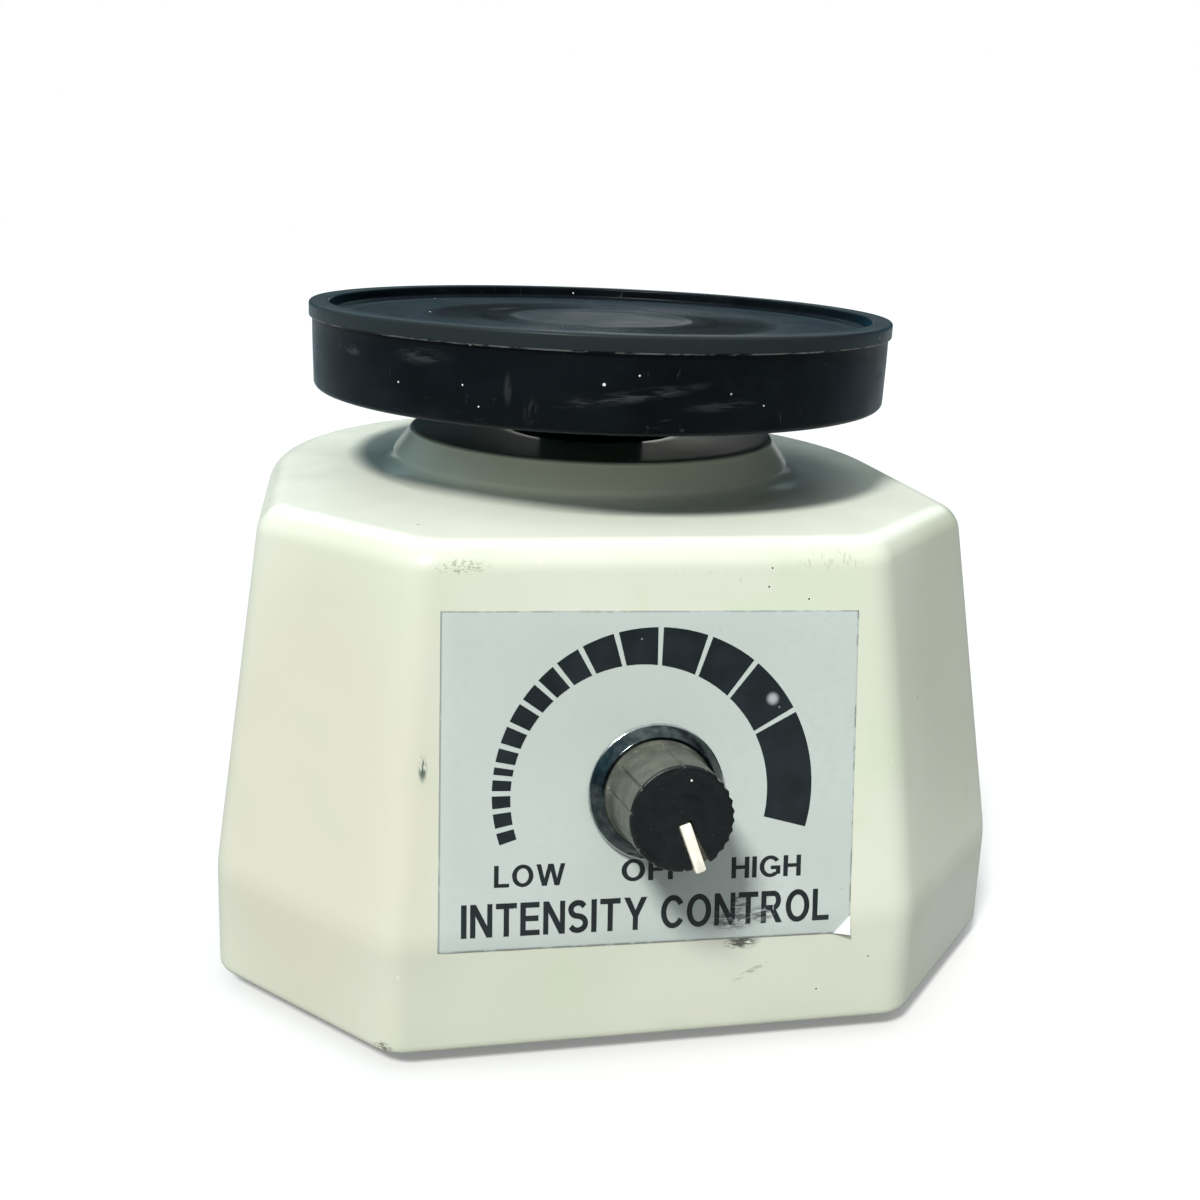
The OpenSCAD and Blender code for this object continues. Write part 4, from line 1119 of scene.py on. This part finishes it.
def make_knob(grip, bar, chrome):
    rings = knob_rings()
    body = loft(rings, fan_end=True)
    hollow = ((7.5, KNOB_LOW), (7.5, 3.6), (5.2, 3.6), (5.2, 5.0), (3.05, 5.0), (3.05, 13.4))
    under = []
    for radius, z in hollow:
        ring = circle_ring(radius, z, KNOB_STEPS)
        under.append([ring[(KNOB_STEPS // 4 - j) % KNOB_STEPS] for j in range(KNOB_STEPS)])
    inside = loft([rings[0]] + under, fan_end=True)
    knob = mesh_object("knob_grip", together(body, inside), ON_DIAL, 55)
    turned = ON_DIAL @ Matrix.Rotation(-math.radians(POINTER_TURN), 4, "Z")
    slot = prism([(-1.05, 0.6), (1.0, 0.6), (0.95, 9.5), (-1.95, 9.5)], KNOB_TOP - 1.9, KNOB_TOP + 1)
    boolean(knob, mesh_object("slot", slot, turned), "DIFFERENCE", 55)
    finish_piece(knob, grip, "knob", ["knob_body"])
    foot = rounded([(-0.8, 0.9, 0.15), (0.8, 0.9, 0.15), (0.8, 8.2, 0.3), (-0.8, 8.2, 0.3)], 3)
    crown = [(x * 0.82, 4.55 + (y - 4.55) * 0.97) for x, y in foot]
    between = [((a[0] + b[0] * 2) / 3, (a[1] + b[1] * 2) / 3) for a, b in zip(crown, foot)]
    low, high = KNOB_TOP - 1.88, KNOB_TOP + 0.38
    layers = [at_height(foot, low), at_height(foot, high - 0.16),
              at_height(between, high - 0.04), at_height(crown, high)]
    pointer = mesh_object("knob_pointer_bar", loft(layers, fan_start=True, fan_end=True), turned, 50)
    finish_piece(pointer, bar, "knob", ["knob_pointer"])
    ring = rounded([(8.62, 0.82, 0), (10.55, 0.82, 0.1), (10.7, 1.05, 0.08), (10.62, 1.36, 0.08),
                    (10.45, 1.44, 0.08), (9.05, 3.36, 0.3), (8.62, 3.38, 0)], 4)
    skirt = mesh_object("knob_skirt_ring", revolve(ring, 128), ON_DIAL, 50)
    finish_piece(skirt, chrome, "knob", ["knob_skirt"])


def on_knob(x, up):
    """A point on the knob's face, across and up from its middle."""
    return ON_DIAL @ Vector((x, up, KNOB_TOP - 0.1))


def knob_plastic():
    f = Finish("knob_plastic", specular=0.35)
    front = f.span(from_dial(f, OUT), KNOB_TOP - 0.55, KNOB_TOP - 0.2)
    colour = f.mix(front, f.mottled(3.5, 3, "3D3F38", "585A50"), f.mottled(2.5, 3, "090D0E", "0F1314"))
    colour = f.tint(colour, f.span(f.noise(0.5, 4, 0.7), 0.62, 0.75), 0.25, "7E8078")
    nick = f.times(f.below(f.cells(2.7), 0.05, 0.08), f.patches(6, 1, 0.58, 0.62))
    chips = f.pinholes([on_knob(1.2, 5.5), on_knob(7.6, 1.0), on_knob(7.5, 1.6)], 0.18)
    colour = f.mix(f.most([nick, chips]), colour, "D5D7D0")
    return f.done(colour, f.uneven(1.8, 3, 0.33, 0.47), f.bump(f.noise(0.22, 2), 0.012))


def pointer_plastic():
    f = Finish("pointer_plastic", specular=0.45)
    tone = f.mottled(1.4, 3, "E6E2D2", "F1EEE2")
    tone = f.tint(tone, f.patches(0.5, 3, 0.62, 0.74), 0.3, "9C988A")
    return f.done(tone, f.uneven(0.8, 2, 0.4, 0.55), f.bump(f.noise(0.3, 2), 0.01))


def chrome_plate():
    """Bright plating on the flange's edge; the cone above it is painted dark, a painted reflection standing in for
    the dark surroundings it mirrors.
    """
    f = Finish("skirt_chrome", metallic=1.0)
    bright = f.mix(f.patches(2.2, 4, 0.35, 0.7), "C4C8CA", "9EA2A3")
    dark = f.mix(f.patches(1.4, 4, 0.35, 0.7), "3A4245", "585F5F")
    tone = f.mix(f.span(from_dial(f, OUT), 1.36, 1.5), bright, dark)
    tone = f.tint(tone, f.span(f.noise(0.7, 4, 0.7), 0.64, 0.72), 0.2, "6E6F6B")
    rough = f.span(f.noise(1.6, 4), 0.35, 0.7, 0.1, 0.18)
    return f.done(tone, rough, f.bump(f.noise(0.9, 3), 0.002))


# ---- Small rubber parts ----

def make_boot(material):
    """Bellows-edged seal in the collar's hole, its lip rising round the hub."""
    profile = rounded([(16.0, 0.02, 0), (17.4, 0.02, 0.1), (17.5, 0.9, 0.3), (15.8, 1.25, 0.4),
                       (14.4, 1.0, 0.3), (13.4, 2.6, 0.5), (12.1, 4.9, 0.3), (11.1, 4.95, 0.2),
                       (12.4, 2.4, 0.5), (13.9, 0.2, 0.3), (14.4, -5.0, 0.3), (17.3, -5.1, 0.3),
                       (17.4, -4.05, 0.1), (16.0, -4.02, 0)], 3)
    place = ON_AXIS @ Matrix.Translation((0, 0, COLLAR_TOP))
    boot = mesh_object("dust_boot_seal", revolve(profile, 96), place, 50)
    finish_piece(boot, material, "casing", ["dust_boot"])


def make_grommet(material):
    """Cable grommet in the rear hole, with a ribbed outer lip."""
    profile = rounded([(3.6, -8.25, 0.3), (7.9, -8.25, 0.5), (7.9, -5.85, 0.2), (5.45, -5.85, 0.1),
                       (5.45, 1.02, 0), (7.95, 1.02, 0.2), (7.9, 2.1, 0.5), (6.4, 3.45, 0.6),
                       (4.6, 3.48, 0.4), (3.6, 2.8, 0.4)], 3)
    grommet = mesh_object("cable_grommet_ring", revolve(profile, 72), ON_GLAND, 50)
    finish_piece(grommet, material, "casing", ["cable_grommet"])


def make_feet(material):
    """Round feet with a softly stepped side and a recess for the screw."""
    profile = rounded([(4.4, 0.0, 0.25), (6.4, 0.0, 0.6), (7.5, 1.2, 0.9), (8.0, 4.6, 0.8),
                       (8.5, 4.9, 0.3), (8.5, 5.95, 0.2), (2.25, 5.95, 0), (2.25, 3.02, 0),
                       (4.4, 3.02, 0.2)], 3)
    foot = revolve(profile, 72)
    parts = [moved(foot, Matrix.Translation((x, y, 0))) for x, y in FOOT_PLACES]
    feet = mesh_object("rubber_feet_set", together(*parts), ON_AXIS, 50)
    finish_piece(feet, material, "casing", ["rubber_feet"])


def soft_rubber():
    f = Finish("soft_rubber", specular=0.4)
    tone = f.mottled(4, 4, "131516", "202223")
    tone = f.tint(tone, f.span(f.noise(1.2, 4, 0.7), 0.58, 0.75), 0.3, "55564F")
    return f.done(tone, f.uneven(3, 3, 0.5, 0.72), f.bump(f.noise(0.4, 3), 0.02))


# ---- Materials of the CAD parts that stay ----

def metal(name, dark, light, roughness, streak=None):
    """A worn metal; streak stretches its grain along an axis."""
    f = Finish(name, metallic=1.0)
    grain = f.noise(1.2, 5, 0.65, 0.0, streak)
    tone = f.mix(f.span(grain, 0.3, 0.7), dark, light)
    tone = f.tint(tone, f.patches(8, 4, 0.56, 0.75), 0.3, dark)
    rough = f.span(grain, 0.3, 0.7, roughness - 0.07, roughness + 0.1)
    return f.done(tone, rough, f.bump(grain, 0.006))


def plastic(name, dark, light, roughness, size=3.0):
    f = Finish(name)
    tone = f.mottled(size, 3, dark, light)
    tone = f.tint(tone, f.span(f.noise(0.7, 4, 0.7), 0.6, 0.75), 0.2, light)
    rough = f.uneven(2, 3, roughness - 0.06, roughness + 0.08)
    return f.done(tone, rough, f.bump(f.noise(0.3, 2), 0.01))


def layered(name, dark, light, pitch, axis, roughness, metallic):
    """Stacked sheets or turns of wire: fine bands across an axis."""
    f = Finish(name, metallic=metallic)
    along = f.vector("DOT_PRODUCT", f.place, axis)
    wave = f.math("SINE", f.times(along, 2 * math.pi / pitch))
    band = f.span(wave, -0.9, 0.6)
    tone = f.mix(band, dark, f.mix(f.patches(2.5, 3, 0.35, 0.7), light, dark))
    rough = f.uneven(2, 3, roughness - 0.05, roughness + 0.1)
    return f.done(tone, rough, f.bump(band, 0.08))


def glass(name):
    f = Finish(name)
    f.fill({"Transmission Weight": 0.85})
    smear_and_glare = f.span(f.noise(1.5, 3), 0.4, 0.7, 0.04, 0.16)
    return f.done(f.mottled(3, 2, "E6EFEF", "D6E3E3"), smear_and_glare)


CAD_FINISHES = (
    (metal, "zinc_steel", "9C9FA0", "C7CACB", 0.32),
    (metal, "machined_steel", "8C8E90", "B9BBBD", 0.28, (1, 1, 6)),
    (metal, "spring_steel", "4E5A68", "7F8B98", 0.3, (0.2, 2, 2)),
    (metal, "table_aluminium", "262B28", "343A34", 0.5, (1, 1, 5)),
    (metal, "brass_parts", "A8873C", "DCC07A", 0.3),
    (layered, "core_iron", "39352F", "6B665C", 0.5, (0, 1, 0), 0.5, 0.7),
    (layered, "copper_wire", "5E2411", "B4602F", 0.45, (0, 0, 1), 0.35, 0.6),
    (layered, "lead_sleeve_white", "B3A878", "E0D6AA", 0.7, (0, 0.6, 0.8), 0.7, 0.0),
    (plastic, "lead_sleeve_red", "8C1F16", "BE3A2D", 0.42),
    (plastic, "bobbin_plastic", "D9CFB4", "EDE6D2", 0.45),
    (plastic, "black_plastic", "17191B", "2B2D2F", 0.5),
    (plastic, "board_laminate", "1F5A2C", "3A7F46", 0.4, 5.0),
    (plastic, "capacitor_film", "B07F18", "D6A53A", 0.3),
    (plastic, "terminal_plastic", "D4D4CC", "EDEDE8", 0.45),
    (glass, "fuse_glass"),
)


def dress_cad_nodes():
    finishes = {name: make(name, *values) for make, name, *values in CAD_FINISHES}
    slots = {part["node"]: part["material_slot"] for part in frame["record"]["subparts"]}
    for name, node in NODES.items():
        finish = finishes.get(slots[name])
        if finish and not node.hide_render:
            wear(node, finish)
            shade(node.data, 30)


# ---- Build ----

def build():
    add_camera()
    add_studio()
    cream = enamel()
    make_housing(cream)
    make_bosses(cream)
    make_label(label_film())
    make_print(ink())
    rubber = dish_rubber()
    make_dish(rubber)
    make_dish_ribs(rubber)
    make_knob(knob_plastic(), pointer_plastic(), chrome_plate())
    soft = soft_rubber()
    make_boot(soft)
    make_grommet(soft)
    make_feet(soft)
    dress_cad_nodes()


build()
